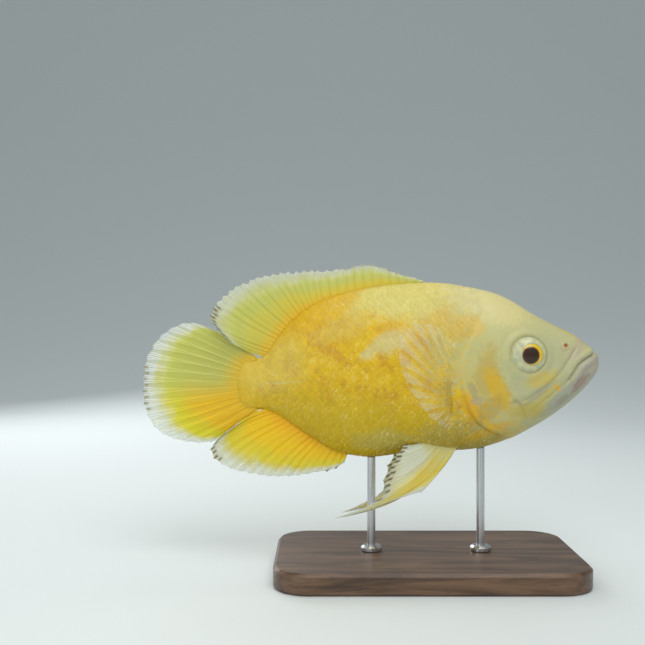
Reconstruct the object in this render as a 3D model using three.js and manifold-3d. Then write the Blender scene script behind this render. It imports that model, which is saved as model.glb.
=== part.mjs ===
// An oscar fish of the lemon-yellow albino form, life size, swimming on a plain display stand.
// Millimetres, +Z up. The head points along +X and the fish's right side faces -Y.
// The origin is the centre of the stand's underside.
import * as THREE from "three";
import { mergeVertices } from "three/addons/utils/BufferGeometryUtils.js";
import Module from "manifold-3d";

const wasm = await Module();
wasm.setup();

// Driving dimensions. Side-view places are [x, z], with z from the belly's lowest point.
const GAP = 0.3; // between pieces that touch
const RIDE_HEIGHT = 50; // the belly's lowest point above the floor
const TAIL_SWAY = 7; // how far the tail fin's edge swings to the fish's left
const SWAY_FROM = -30; // where along the body the swing begins
const TAIL_END = -119.2; // the tail fin's rear edge
const STALK_FROM = -63.4; // where the trunk hands over to the tail stalk
const EYE = { place: [48.7, 45.4], radius: 7.6, bulge: 2.4, iris: 4.4 };
const NOSTRIL = { place: [65.7, 49.4], radius: 0.8 };
const GILL_COVER = { thick: 1.8, lift: 0.8, fade: 8 };
const BASE = { length: 132, width: 76, height: 9, corner: 14, bevel: 1.2 };
const ROD = { radius: 1.8, collarRadius: 4.6, collarHeight: 2.2, x: [31, -17] }; // x along the fish

// Cross-sections from the lips to the tail fin's base: the point on the back, the point on the
// belly, half the width, the height of the widest place as a share of the depth, and how full
// the upper and lower flanks are (2 is an ellipse).
const SECTIONS = [
  { back: [80.9, 46.1], belly: [82.6, 41.9], half: 3.2, widest: 0.5, full: [2, 2] },
  { back: [79.4, 47.7], belly: [82.3, 39.6], half: 5.6, widest: 0.5, full: [2, 2] },
  { back: [77.2, 49.7], belly: [81.2, 36.8], half: 7.8, widest: 0.5, full: [2, 2.1] },
  { back: [73.9, 52.3], belly: [78.6, 33.3], half: 9.7, widest: 0.49, full: [2.1, 2.2] },
  { back: [69.5, 55.0], belly: [74.1, 28.4], half: 11.3, widest: 0.48, full: [2.2, 2.3] },
  { back: [64.2, 57.5], belly: [67.9, 23.1], half: 12.8, widest: 0.47, full: [2.3, 2.3] },
  { back: [58.5, 60.4], belly: [60.8, 17.8], half: 14.0, widest: 0.46, full: [2.3, 2.2] },
  { back: [51.9, 64.1], belly: [53.2, 13.2], half: 15.0, widest: 0.45, full: [2.3, 2.1] },
  { back: [44.4, 68.8], belly: [44.9, 8.8], half: 16.1, widest: 0.44, full: [2.2, 2.1] },
  { back: [36.1, 72.5], belly: [36.1, 5.5], half: 17.0, widest: 0.44, full: [2.1, 2.1] },
  { back: [26.4, 74.8], belly: [26.4, 3.5], half: 17.4, widest: 0.45, full: [2.0, 2.1] },
  { back: [13.2, 76.8], belly: [13.2, 2.6], half: 17.2, widest: 0.46, full: [1.9, 2.1] },
  { back: [-2.2, 76.6], belly: [-2.2, 1.8], half: 16.3, widest: 0.48, full: [1.85, 2.0] },
  { back: [-17.6, 74.8], belly: [-17.6, 0.0], half: 14.6, widest: 0.5, full: [1.8, 1.9] },
  { back: [-31.7, 71.5], belly: [-31.7, 2.2], half: 12.2, widest: 0.5, full: [1.8, 1.8] },
  { back: [-43.1, 66.7], belly: [-42.2, 7.7], half: 9.6, widest: 0.5, full: [1.8, 1.8] },
  { back: [-51.9, 60.4], belly: [-51.0, 13.6], half: 7.3, widest: 0.5, full: [1.8, 1.8] },
  { back: [-58.5, 52.6], belly: [-57.6, 18.0], half: 5.6, widest: 0.5, full: [1.9, 1.9] },
  { back: [-63.4, 45.4], belly: [-62.9, 20.4], half: 4.5, widest: 0.5, full: [2, 2] },
  { back: [-68.2, 43.0], belly: [-67.8, 20.7], half: 3.6, widest: 0.5, full: [2, 2] },
  { back: [-73.3, 42.6], belly: [-73.3, 20.7], half: 2.5, widest: 0.5, full: [2, 2] },
  { back: [-75.8, 38.8], belly: [-75.8, 24.4], half: 1.6, widest: 0.5, full: [2, 2] },
];
const SNOUT = [82.3, 44.1]; // where the lips close the front
const MOST_SHRINK = 0.45; // a body moved in keeps over half of its width
const RING_SIDES = 48;
const RINGS_BETWEEN = [4, 4, 4, 4, 4, 3, 3, 3, 3, 3, 2, 2, 2, 2, 2, 2, 2, 2, 2, 2, 1];

// Lines seen from the side, each from its front or upper end.
const GAPE = [[88, 49.6], [79.0, 46.8], [74.6, 45.5], [71.6, 43.6], [69.2, 41.1], [67.4, 37.7], [65.2, 33.9]];
const JAW_FOLD = [[65.2, 33.9], [62.6, 31.3], [58.7, 27.9], [54.5, 24.5], [51.8, 21.1]];
const JAW_REAR = [[51.8, 21.1], [51.0, 16.5], [51.6, 11.0], [53.0, 4.0]];
const LIP_CREASE = [
  [71.4, 49.5], [69.1, 46.6], [66.1, 42.4], [62.4, 37.3], [58.0, 33.1], [52.8, 29.3], [48.6, 26.6],
  [44.2, 25.6],
];
const NAPE = [[12.6, 88], [14.6, 76.3], [17.1, 71.0], [21.8, 65.4], [30.0, 60.3]];
const GILL_EDGE = [
  [30.0, 60.3], [25.5, 54.8], [22.0, 49.3], [20.0, 43.4], [19.6, 37.1], [20.4, 30.8], [22.4, 24.8],
  [25.6, 18.8], [30.1, 14.4], [35.8, 11.5], [41.6, 9.7],
];
const THROAT = [[41.6, 9.7], [45.5, 5.5], [48, -3]];
const CHEEK_EDGE = [
  [46.0, 12.6], [47.6, 17.2], [46.8, 22.0], [43.6, 25.8], [40.2, 29.5], [37.1, 35.8], [35.4, 43.4],
  [35.2, 51.0], [33.4, 57.4],
];

// Numbers and lines

const clamp = (value, low, high) => Math.max(low, Math.min(high, value));
const step = (low, high, value) => THREE.MathUtils.smoothstep(value, low, high);
const mix = (a, b, t) => a + (b - a) * t;
const bell = (distance, width) => Math.exp(-((distance / width) ** 2));
const sway = (x) => TAIL_SWAY * (Math.max(0, SWAY_FROM - x) / (SWAY_FROM - TAIL_END)) ** 2;

// A smooth value between a row of values, where u counts them from 0.
function between(values, u) {
  const i = clamp(Math.floor(u), 0, values.length - 2);
  const t = u - i;
  const [a, b, c, d] = [i - 1, i, i + 1, i + 2].map((k) => values[clamp(k, 0, values.length - 1)]);
  return b + 0.5 * t * (c - a + t * (2 * a - 5 * b + 4 * c - d + t * (3 * (b - c) + d - a)));
}

const smoothLine = (points, count = 24) =>
  new THREE.SplineCurve(points.map(([x, z]) => new THREE.Vector2(x, z))).getPoints(count);

// The nearest place on a line: the distance, positive on the line's left, and the share of it passed.
function nearest(line, x, z) {
  let best = { distance: Infinity, share: 0 };
  for (let i = 0; i < line.length - 1; i++) {
    const [a, b] = [line[i], line[i + 1]];
    const [dx, dz] = [b.x - a.x, b.y - a.y];
    const t = clamp(((x - a.x) * dx + (z - a.y) * dz) / (dx * dx + dz * dz), 0, 1);
    const [ox, oz] = [x - a.x - t * dx, z - a.y - t * dz];
    const distance = Math.hypot(ox, oz);
    if (distance < Math.abs(best.distance)) {
      const side = dx * oz - dz * ox >= 0 ? 1 : -1;
      best = { distance: side * distance, share: (i + t) / (line.length - 1) };
    }
  }
  return best;
}

// A line moved sideways, to its left where the distance is positive.
const shifted = (line, distance) =>
  line.map((point, i) => {
    const along = line[Math.min(i + 1, line.length - 1)].clone().sub(line[Math.max(i - 1, 0)]).normalize();
    return new THREE.Vector2(point.x - along.y * distance, point.y + along.x * distance);
  });

// Solids

function solid(geometry) {
  const bare = geometry.index ? geometry.toNonIndexed() : geometry.clone();
  for (const name of Object.keys(bare.attributes)) if (name !== "position") bare.deleteAttribute(name);
  const merged = mergeVertices(bare, 1e-4);
  const vertProperties = merged.attributes.position.array;
  const triVerts = new Uint32Array(merged.index.array);
  const made = new wasm.Manifold(new wasm.Mesh({ numProp: 3, vertProperties, triVerts }));
  if (made.volume() > 0) return made;
  const turned = triVerts.map((corner, i) => triVerts[i + [0, 1, -1][i % 3]]);
  return new wasm.Manifold(new wasm.Mesh({ numProp: 3, vertProperties, triVerts: turned }));
}

// The largest closed surface of a solid, as a named mesh.
function piece(name, made, material) {
  const parts = made.decompose().sort((a, b) => b.volume() - a.volume());
  const { vertProperties, triVerts } = parts[0].getMesh();
  const geometry = new THREE.BufferGeometry();
  geometry.setAttribute("position", new THREE.BufferAttribute(new Float32Array(vertProperties), 3));
  geometry.setIndex(new THREE.BufferAttribute(new Uint32Array(triVerts), 1));
  geometry.computeVertexNormals();
  const mesh = new THREE.Mesh(geometry, material);
  mesh.name = name;
  return mesh;
}

// A closed surface through rings of points, with a point at each end.
function loft(rings, first, last) {
  const sides = rings[0].length;
  const points = [first, ...rings.flat(), last];
  const corners = [];
  const at = (ring, side) => 1 + ring * sides + (side % sides);
  for (let side = 0; side < sides; side++) {
    corners.push(0, at(0, side + 1), at(0, side));
    for (let ring = 0; ring < rings.length - 1; ring++) {
      const [a, b, c, d] = [at(ring, side), at(ring, side + 1), at(ring + 1, side + 1), at(ring + 1, side)];
      corners.push(a, b, c, a, c, d);
    }
    corners.push(points.length - 1, at(rings.length - 1, side), at(rings.length - 1, side + 1));
  }
  const geometry = new THREE.BufferGeometry().setFromPoints(points);
  return solid(geometry.setIndex(corners));
}

// A side-view outline carried straight across the fish, from y = low to y = high.
function across(outline, low, high) {
  const shape = new THREE.Shape(outline);
  const geometry = new THREE.ExtrudeGeometry(shape, { depth: high - low, bevelEnabled: false });
  return solid(geometry.rotateX(Math.PI / 2).translate(0, high, 0));
}

// The body's surface

const lines = Object.fromEntries(
  Object.entries({ GAPE, JAW_FOLD, JAW_REAR, LIP_CREASE, NAPE, GILL_EDGE, THROAT, CHEEK_EDGE }).map(
    ([name, points]) => [name, smoothLine(points)],
  ),
);
const column = (pick) => SECTIONS.map(pick);
const SECTION_VALUES = {
  backX: column((s) => s.back[0]),
  backZ: column((s) => s.back[1]),
  bellyX: column((s) => s.belly[0]),
  bellyZ: column((s) => s.belly[1]),
  half: column((s) => s.half),
  widest: column((s) => s.widest),
  above: column((s) => s.full[0]),
  below: column((s) => s.full[1]),
};

// A point of the smooth body: u counts the sections and the angle starts at the fish's left.
function bodyPoint(u, angle, grow = 0) {
  const value = {};
  for (const [name, row] of Object.entries(SECTION_VALUES)) value[name] = between(row, u);
  const sine = Math.sin(angle);
  const cosine = Math.cos(angle);
  const power = 2 / (sine >= 0 ? value.above : value.below);
  const reach = Math.sign(sine) * Math.abs(sine) ** power;
  const share = value.widest + reach * (sine >= 0 ? 1 - value.widest : value.widest);
  const depth = Math.hypot(value.backX - value.bellyX, value.backZ - value.bellyZ);
  const stretch = grow / depth;
  const along = share + reach * stretch;
  const x = mix(value.bellyX, value.backX, along);
  const z = mix(value.bellyZ, value.backZ, along);
  const y = Math.sign(cosine) * Math.abs(cosine) ** power * (value.half + grow);
  return new THREE.Vector3(x, y, z);
}

// How far the head's forms stand out of the smooth body at a side-view place.
function headRelief(x, z) {
  const gape = nearest(lines.GAPE, x, z);
  const fold = nearest(lines.JAW_FOLD, x, z);
  const crease = nearest(lines.LIP_CREASE, x, z);
  const edge = nearest(lines.GILL_EDGE, x, z);
  const cheek = nearest(lines.CHEEK_EDGE, x, z);
  const open = 1 - step(0.8, 1, gape.share);
  const lips = open * (0.6 * bell(gape.distance + 1.7, 1.2) + 0.8 * bell(gape.distance - 1.9, 1.3));
  const creased = 0.4 * bell(crease.distance, 1.0) * (1 - step(0.7, 1, crease.share));
  const folds = 0.35 * bell(fold.distance, 0.9) + creased;
  const mouth = -0.5 * bell(gape.distance, 0.7) - folds;
  const fromEye = Math.hypot(x - EYE.place[0], z - EYE.place[1]);
  const orbit = 0.5 * bell(fromEye - EYE.radius - 2.4, 2) - 0.35 * bell(fromEye - EYE.radius - 0.4, 0.9);
  const ended = step(0, 0.12, edge.share) * (1 - step(0.9, 1, edge.share));
  const cover = GILL_COVER.lift * bell(edge.distance, GILL_COVER.fade) * ended;
  const bone = 0.4 * bell(cheek.distance + 2, 2.2) * step(0.1, 0.3, cheek.share);
  return lips + mouth + orbit + cover + bone;
}

// The whole body as a solid: grow moves the skin out, and relief adds the head's forms.
function body({ grow = 0, relief = null } = {}) {
  const rings = [];
  const last = SECTIONS.length - 1;
  const nudge = 0.02;
  const place = (u, angle) => {
    const deepest = -MOST_SHRINK * between(SECTION_VALUES.half, u);
    const point = bodyPoint(u, angle, Math.max(grow, deepest));
    if (relief) {
      const along = bodyPoint(Math.min(u + nudge, last), angle).sub(bodyPoint(Math.max(u - nudge, 0), angle));
      const round = bodyPoint(u, angle + nudge).sub(bodyPoint(u, angle - nudge));
      point.addScaledVector(round.cross(along).normalize(), relief(point.x, point.z));
    }
    point.y += sway(point.x);
    return point;
  };
  RINGS_BETWEEN.forEach((count, i) => {
    for (let k = 0; k < count; k++) rings.push(i + k / count);
  });
  rings.push(last);
  const points = rings.map((u) =>
    Array.from({ length: RING_SIDES }, (_, side) => place(u, (side / RING_SIDES) * 2 * Math.PI)),
  );
  const middle = (ring) => ring.reduce((sum, p) => sum.add(p), new THREE.Vector3()).divideScalar(ring.length);
  const tail = middle(points[points.length - 1]);
  return loft(points, new THREE.Vector3(SNOUT[0] + Math.max(grow, 0), 0, SNOUT[1]), tail);
}

// Half the body's width at a side-view place, found on the smooth surface.
function flank(x, z) {
  let best = { miss: Infinity, u: SECTIONS.length / 2, angle: 0, y: 0 };
  for (let reach = 9; reach > 0.01; reach *= 0.6) {
    const from = best;
    for (let i = -5; i <= 5; i++) {
      for (let j = -5; j <= 5; j++) {
        const u = clamp(from.u + (i / 5) * reach, 0, SECTIONS.length - 1);
        const angle = clamp(from.angle + (j / 5) * reach * 0.2, -Math.PI / 2, Math.PI / 2);
        const point = bodyPoint(u, angle);
        const miss = Math.hypot(point.x - x, point.z - z);
        if (miss < best.miss) best = { miss, u, angle, y: point.y };
      }
    }
  }
  return best.y;
}

// Materials

const finish = (color, roughness, metalness = 0) =>
  new THREE.MeshStandardMaterial({ color, roughness, metalness });
const SKIN = finish("#d9b53a", 0.45);
const PALE_SKIN = finish("#cdc79a", 0.45);
const FIN = finish("#d8cf7a", 0.4);
const TAIL_FIN = finish("#dcb92c", 0.4);
const EYE_WHITE = finish("#c9d2a8", 0.25);
const WOOD = finish("#4a3325", 0.5);
const STEEL = finish("#b9bcc0", 0.3, 1);

// Head, trunk and tail stalk

const wide = 40; // past either flank
const skin = body({ relief: headRelief });
const plain = body();
const plainGrown = body({ grow: GAP });
const coverInside = body({ grow: -GILL_COVER.thick });
const coverSeat = body({ grow: -GILL_COVER.thick - GAP });

const border = [...lines.NAPE.slice(0, -1), ...lines.GILL_EDGE, ...lines.THROAT.slice(1)];
const corner = (x, z) => new THREE.Vector2(x, z);
const headSide = across([...shifted(border, GAP / 2), corner(120, -3), corner(120, 88)], -wide, wide);
const trunkSide = across(
  [...shifted(border, -GAP / 2), corner(STALK_FROM + GAP / 2, -10), corner(STALK_FROM + GAP / 2, 95)],
  -wide,
  wide,
);
const stalkSide = across(
  [corner(STALK_FROM - GAP / 2, 95), corner(STALK_FROM - GAP / 2, -10), corner(-90, -10), corner(-90, 95)],
  -wide,
  wide,
);

const jawLine = [...lines.GAPE.slice(0, -1), ...lines.JAW_FOLD.slice(0, -1), ...lines.JAW_REAR];
const jawSide = across([...shifted(jawLine, GAP), corner(120, 5), corner(120, 52)], -wide, wide);
const jawSeat = across([...shifted(jawLine, -GAP / 2), corner(125, 0), corner(125, 60)], -wide, wide);

const coverOutline = [...lines.GILL_EDGE, ...lines.CHEEK_EDGE];
const coverFrom = 2.5; // how far each gill cover stays off the fish's middle
const coverPrism = across(shifted(coverOutline, GAP / 2), coverFrom, wide);
const seatPrism = across(shifted(coverOutline, -GAP / 2), coverFrom - GAP, wide);
const coverShell = coverPrism.intersect(skin).subtract(coverInside);
const otherSide = (made) => made.mirror([0, 1, 0]);

// An eyeball turned on the fish's width: a pale swollen ring, a groove and the clear dome over the iris.
function eyeProfile(grow) {
  const { radius, bulge, iris } = EYE;
  const deep = 4.6;
  return [
    [0, -deep - grow],
    [radius * 0.5, -deep * 0.86 - grow],
    [radius * 0.86 + grow * 0.5, -deep * 0.5 - grow * 0.8],
    [radius + grow, 0],
    [radius * 0.97 + grow, bulge * 0.36 + grow * 0.4],
    [radius * 0.86 + grow, bulge * 0.7 + grow],
    [radius * 0.72, bulge * 0.92 + grow],
    [iris + 0.5, bulge + grow],
    [iris, bulge * 0.93 + grow],
    [iris - 0.4, bulge * 1.02 + grow],
    [iris * 0.6, bulge * 1.22 + grow],
    [iris * 0.3, bulge * 1.31 + grow],
    [0, bulge * 1.34 + grow],
  ].map(([r, out]) => new THREE.Vector2(r, out));
}
const eyeSink = 0.2; // how far the ring's widest place lies under the cheek's skin
const eyeOut = flank(...EYE.place) - eyeSink;
const eyeball = (grow) =>
  solid(new THREE.LatheGeometry(eyeProfile(grow), 22).translate(EYE.place[0], eyeOut, EYE.place[1]));
const leftEye = eyeball(0);
const leftSocket = eyeball(GAP);
const nostrilPit = new THREE.SphereGeometry(NOSTRIL.radius, 10, 8);
const leftNostril = solid(
  nostrilPit.translate(NOSTRIL.place[0], flank(...NOSTRIL.place) + 0.2, NOSTRIL.place[1]),
);

let head = skin.intersect(headSide).subtract(jawSeat);
const coverSeatShell = seatPrism.subtract(coverSeat);
for (const taken of [coverSeatShell, leftSocket, leftNostril]) {
  head = head.subtract(taken).subtract(otherSide(taken));
}
const lowerJaw = skin.intersect(jawSide);

// Fins

// A fin as one closed sheet. Each ray is { root, bend, tip, ray, web, notch }: the ridge's ends, the
// point that bends it, the thickness along it and along the lower web behind it, and how far the
// web's edge is drawn in.
function fin(rays, rows) {
  const half = (a, b) => a.clone().lerp(b, 0.5);
  const columns = [];
  rays.forEach((here, i) => {
    columns.push({ ...here, thick: here.ray, reach: 1 });
    const next = rays[i + 1];
    if (!next) return;
    const [root, bend, tip] = ["root", "bend", "tip"].map((end) => half(here[end], next[end]));
    const cut = Math.min(0.4, here.notch / root.distanceTo(tip));
    columns.push({ root, bend, tip, thick: here.web, reach: 1 - cut });
  });
  const grid = columns.map(({ root, bend, tip, thick, reach }) => {
    const curve = new THREE.QuadraticBezierCurve3(root, bend, tip);
    return Array.from({ length: rows + 1 }, (_, k) => {
      const share = (k / rows) * reach;
      return { point: curve.getPoint(share), half: thick(share) / 2 };
    });
  });
  const last = grid.length - 1;
  const points = [];
  for (const side of [1, -1]) {
    grid.forEach((line, j) =>
      line.forEach(({ point, half: out }, k) => {
        const acrossFin = grid[Math.min(j + 1, last)][k].point.clone().sub(grid[Math.max(j - 1, 0)][k].point);
        const alongFin = line[Math.min(k + 1, rows)].point.clone().sub(line[Math.max(k - 1, 0)].point);
        points.push(point.clone().addScaledVector(acrossFin.cross(alongFin).normalize(), side * out));
      }),
    );
  }
  const other = points.length / 2;
  const at = (j, k) => j * (rows + 1) + k;
  const corners = [];
  const wall = (a, b) => corners.push(a, b, b + other, a, b + other, a + other);
  for (let j = 0; j < last; j++) {
    for (let k = 0; k < rows; k++) {
      const [a, b, c, d] = [at(j, k), at(j + 1, k), at(j + 1, k + 1), at(j, k + 1)];
      corners.push(a, b, c, a, c, d, a + other, c + other, b + other, a + other, d + other, c + other);
    }
    wall(at(j + 1, 0), at(j, 0));
    wall(at(j, rows), at(j + 1, rows));
  }
  for (let k = 0; k < rows; k++) {
    wall(at(0, k), at(0, k + 1));
    wall(at(last, k + 1), at(last, k));
  }
  return solid(new THREE.BufferGeometry().setFromPoints(points).setIndex(corners));
}

const taper = (root, tip) => (share) => mix(root, tip, share);
const inBody = (made) => made.subtract(plainGrown);

// Rays spread evenly from a root line to a tip line. Each bows by a share of its length.
function fan({ roots, tips, count, bow, lean, ray, web, notch }) {
  const rootLine = new THREE.SplineCurve(roots.map(([x, z]) => new THREE.Vector2(x, z)));
  const tipLine = new THREE.SplineCurve(tips.map(([x, z]) => new THREE.Vector2(x, z)));
  return Array.from({ length: count }, (_, i) => {
    const s = i / (count - 1);
    const root = rootLine.getPointAt(s);
    const tip = tipLine.getPointAt(s);
    const middle = root.clone().lerp(tip, 0.5);
    const bend = middle.add(new THREE.Vector2(root.y - tip.y, tip.x - root.x).multiplyScalar(bow(s)));
    const leant = (point, share) => {
      const y = sway(root.x) + lean(root.x, point.x, s) * share;
      return new THREE.Vector3(point.x, y, point.y);
    };
    return { root: leant(root, 0), bend: leant(bend, 0.3), tip: leant(tip, 1), ray, web, notch };
  });
}

// Thirteen stiff spines, then the soft rays that sweep back over the tail stalk.
const DORSAL_SPINES = {
  roots: [[6.5, 74.6], [-4.4, 73.6], [-17.6, 71.9], [-30.2, 68.8], [-37.8, 66.2]],
  tips: [
    [5.4, 78.1], [-4.4, 81.4], [-11.0, 83.4], [-16.7, 85.1], [-23.3, 84.6], [-30.4, 83.2], [-36.4, 82.5],
    [-40.6, 82.4],
  ],
  count: 13,
  bow: () => 0.03,
  lean: () => -0.6,
  ray: taper(1.5, 0.6),
  web: taper(0.7, 0.5),
  notch: 1.3,
};
const SOFT = { ray: taper(1.3, 0.6), web: taper(0.75, 0.45), notch: 0.5 };
const DORSAL_RAYS = {
  roots: [[-40.0, 65.3], [-47.0, 61.4], [-53.0, 55.6], [-57.2, 49.6], [-62.0, 43.4]],
  tips: [
    [-43.4, 82.5], [-52.8, 81.8], [-61.6, 80.6], [-70.4, 78.1], [-78.3, 74.2], [-84.0, 69.4], [-87.5, 64.4],
    [-87.6, 60.6], [-85.0, 56.4], [-80.0, 51.6],
  ],
  count: 20,
  bow: (s) => mix(0.03, 0.1, s),
  lean: (from, to, s) => -0.6 - 2.9 * s,
  ...SOFT,
};
const ANAL_RAYS = {
  roots: [[-26.6, 3.2], [-32.6, 5.8], [-43.2, 11.2], [-51.2, 16.8], [-60.6, 22.4]],
  tips: [
    [-29.0, -2.8], [-34.6, -6.0], [-41.0, -6.6], [-48.4, -7.9], [-56.0, -8.4], [-64.4, -7.9], [-72.6, -6.6],
    [-80.1, -4.2], [-85.4, -1.0], [-87.6, 2.4], [-86.4, 5.8], [-83.0, 9.2], [-78.6, 12.4],
  ],
  count: 19,
  bow: (s) => mix(-0.04, -0.12, s),
  lean: (from, to, s) => -0.8 - 3.4 * s,
  ...SOFT,
};
const fleshy = (root, tip) => (share) => mix(root, tip, Math.min(1, share / 0.4) ** 0.6);
const TAIL_RAYS = {
  roots: [
    [-66.4, 42.8], [-70.6, 40.6], [-72.4, 36.6], [-72.9, 31.7], [-72.4, 26.8], [-70.6, 22.8], [-66.4, 20.8],
  ],
  tips: [
    [-90.8, 57.6], [-98.5, 59.4], [-105.8, 57.0], [-112.2, 52.3], [-116.7, 45.5], [-118.8, 38.3],
    [-119.2, 31.2], [-118.8, 24.4], [-117.1, 18.6], [-113.9, 13.1], [-108.9, 9.1], [-102.1, 6.8],
    [-95.3, 5.8], [-88.5, 5.9],
  ],
  count: 18,
  bow: (s) => mix(-0.08, 0.08, s),
  lean: (from, to, s) => sway(to) - sway(from) + 1.2 * Math.sin(2 * Math.PI * s),
  ray: fleshy(3.0, 0.7),
  web: fleshy(2.7, 0.45),
  notch: 0.6,
};

// The pectoral fin is raised and spread: its upper rays lie near the flank and the lower ones,
// which are shorter, turn out from it.
const PECTORAL = {
  place: [16.6, 25.6],
  height: 7.6,
  count: 13,
  up: [76, -34],
  out: [30, 84],
  lengths: [29, 36, 39.5, 38, 32, 25, 18, 12],
};
function pectoral() {
  const { place, height, count, up, out, lengths } = PECTORAL;
  const y = flank(...place) - 1.4;
  return Array.from({ length: count }, (_, i) => {
    const s = i / (count - 1);
    const rise = THREE.MathUtils.degToRad(mix(...up, s));
    const turn = THREE.MathUtils.degToRad(mix(...out, s ** 1.6));
    const length = between(lengths, s * (lengths.length - 1));
    const along = new THREE.Vector3(-Math.cos(turn), Math.sin(turn), 0).multiplyScalar(Math.cos(rise));
    along.z = Math.sin(rise);
    const root = new THREE.Vector3(place[0] + 1.6 * (0.5 - s), y, place[1] + height * (0.5 - s));
    const cup = new THREE.Vector3(Math.sin(turn), Math.cos(turn), 0);
    const bend = root.clone().addScaledVector(along, length * 0.5).addScaledVector(cup, 1.8);
    const tip = root.clone().addScaledVector(along, length).addScaledVector(cup, -1.5);
    return { root, bend, tip, ray: taper(1.2, 0.55), web: taper(0.7, 0.45), notch: 0.9 };
  });
}

// A pelvic fin: a stout spine, then the rays, of which the first draws out into a long thread.
const PELVIC_RAYS = [
  { root: [19.6, 6.2, 5.0], bend: [12.6, 10.0, -4.4], tip: [3.4, 15.0, -12.6] },
  { root: [16.2, 6.4, 5.4], bend: [2.6, 12.6, -18.6], tip: [-33.2, 18.0, -22.9] },
  { root: [13.2, 6.8, 6.0], bend: [2.0, 11.6, -9.8], tip: [-15.6, 15.6, -16.2] },
  { root: [11.0, 7.2, 6.4], bend: [1.6, 11.0, -5.4], tip: [-12.6, 14.2, -9.4] },
  { root: [9.0, 7.6, 6.8], bend: [0.6, 10.6, -1.4], tip: [-10.2, 12.8, -2.8] },
  { root: [7.0, 8.0, 7.2], bend: [0.0, 10.4, 2.6], tip: [-7.2, 11.6, 2.9] },
  { root: [5.0, 8.4, 7.6], bend: [0.2, 10.2, 6.2], tip: [-4.6, 10.9, 6.8] },
];
function pelvic(forward) {
  const hinge = new THREE.Vector3(...PELVIC_RAYS[0].root);
  const swing = ([x, y, z]) => {
    const arm = new THREE.Vector3(x, y, z).sub(hinge);
    return arm.applyAxisAngle(new THREE.Vector3(0, -1, 0), THREE.MathUtils.degToRad(forward)).add(hinge);
  };
  return PELVIC_RAYS.map(({ root, bend, tip }) => ({
    root: swing(root),
    bend: swing(bend),
    tip: swing(tip),
    ray: taper(1.4, 0.5),
    web: taper(0.8, 0.45),
    notch: 1.2,
  }));
}

const dorsalFin = fin([...fan(DORSAL_SPINES), ...fan(DORSAL_RAYS)], 6);
const analFin = fin(fan(ANAL_RAYS), 6);
const tailFin = fin(fan(TAIL_RAYS), 8);
const pectoralFin = fin(pectoral(), 6);
const leftPelvic = fin(pelvic(6), 10);
const rightPelvic = otherSide(fin(pelvic(0), 10));

// The display stand

function base() {
  const { length, width, height, corner: round, bevel } = BASE;
  const shape = new THREE.Shape();
  const [x, y] = [length / 2 - bevel, width / 2 - bevel];
  shape.moveTo(-x + round, -y).lineTo(x - round, -y).absarc(x - round, -y + round, round, -Math.PI / 2, 0);
  shape.lineTo(x, y - round).absarc(x - round, y - round, round, 0, Math.PI / 2);
  shape.lineTo(-x + round, y).absarc(-x + round, y - round, round, Math.PI / 2, Math.PI);
  shape.lineTo(-x, -y + round).absarc(-x + round, -y + round, round, Math.PI, 1.5 * Math.PI);
  const depth = height - 2 * bevel;
  const options = { depth, bevelSize: bevel, bevelThickness: bevel, bevelSegments: 1, curveSegments: 6 };
  return solid(new THREE.ExtrudeGeometry(shape, options).translate(0, 0, bevel));
}

// A rod with a collar at its foot. Its top is shaped to the belly that it carries.
function rod(x) {
  const { radius, collarRadius, collarHeight } = ROD;
  const foot = BASE.height + GAP - RIDE_HEIGHT;
  const profile = [
    [0, 0],
    [collarRadius, 0],
    [collarRadius, collarHeight * 0.6],
    [collarRadius * 0.8, collarHeight],
    [radius, collarHeight],
    [radius, RIDE_HEIGHT],
    [0, RIDE_HEIGHT],
  ].map(([r, z]) => new THREE.Vector2(r, z));
  const turned = new THREE.LatheGeometry(profile, 20).rotateX(Math.PI / 2).translate(x, 0, foot);
  return solid(turned).subtract(plainGrown);
}

// The part

const standX = (ROD.x[0] + ROD.x[1]) / 2; // the stand's middle, along the fish
const smooth = (made) => made.simplify(0.1);

const fish = new THREE.Group();
fish.position.set(-standX, 0, RIDE_HEIGHT);
fish.add(
  piece("head", smooth(head), PALE_SKIN),
  piece("lower_jaw", smooth(lowerJaw), PALE_SKIN),
  piece("gill_cover_left", coverShell, PALE_SKIN),
  piece("gill_cover_right", otherSide(coverShell), PALE_SKIN),
  piece("eye_left", leftEye, EYE_WHITE),
  piece("eye_right", otherSide(leftEye), EYE_WHITE),
  piece("trunk", smooth(plain.intersect(trunkSide)), SKIN),
  piece("tail_stalk", smooth(plain.intersect(stalkSide)), SKIN),
  piece("dorsal_fin", inBody(dorsalFin), FIN),
  piece("anal_fin", inBody(analFin), TAIL_FIN),
  piece("tail_fin", inBody(tailFin), TAIL_FIN),
  piece("pectoral_fin_left", inBody(pectoralFin), FIN),
  piece("pectoral_fin_right", inBody(otherSide(pectoralFin)), FIN),
  piece("pelvic_fin_left", inBody(leftPelvic), FIN),
  piece("pelvic_fin_right", inBody(rightPelvic), FIN),
);

const rods = new THREE.Group();
rods.position.copy(fish.position);
rods.add(piece("stand_rod_front", rod(ROD.x[0]), STEEL), piece("stand_rod_rear", rod(ROD.x[1]), STEEL));

const model = new THREE.Group();
model.add(fish, rods, piece("stand_base", base(), WOOD));
export default model;
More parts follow.
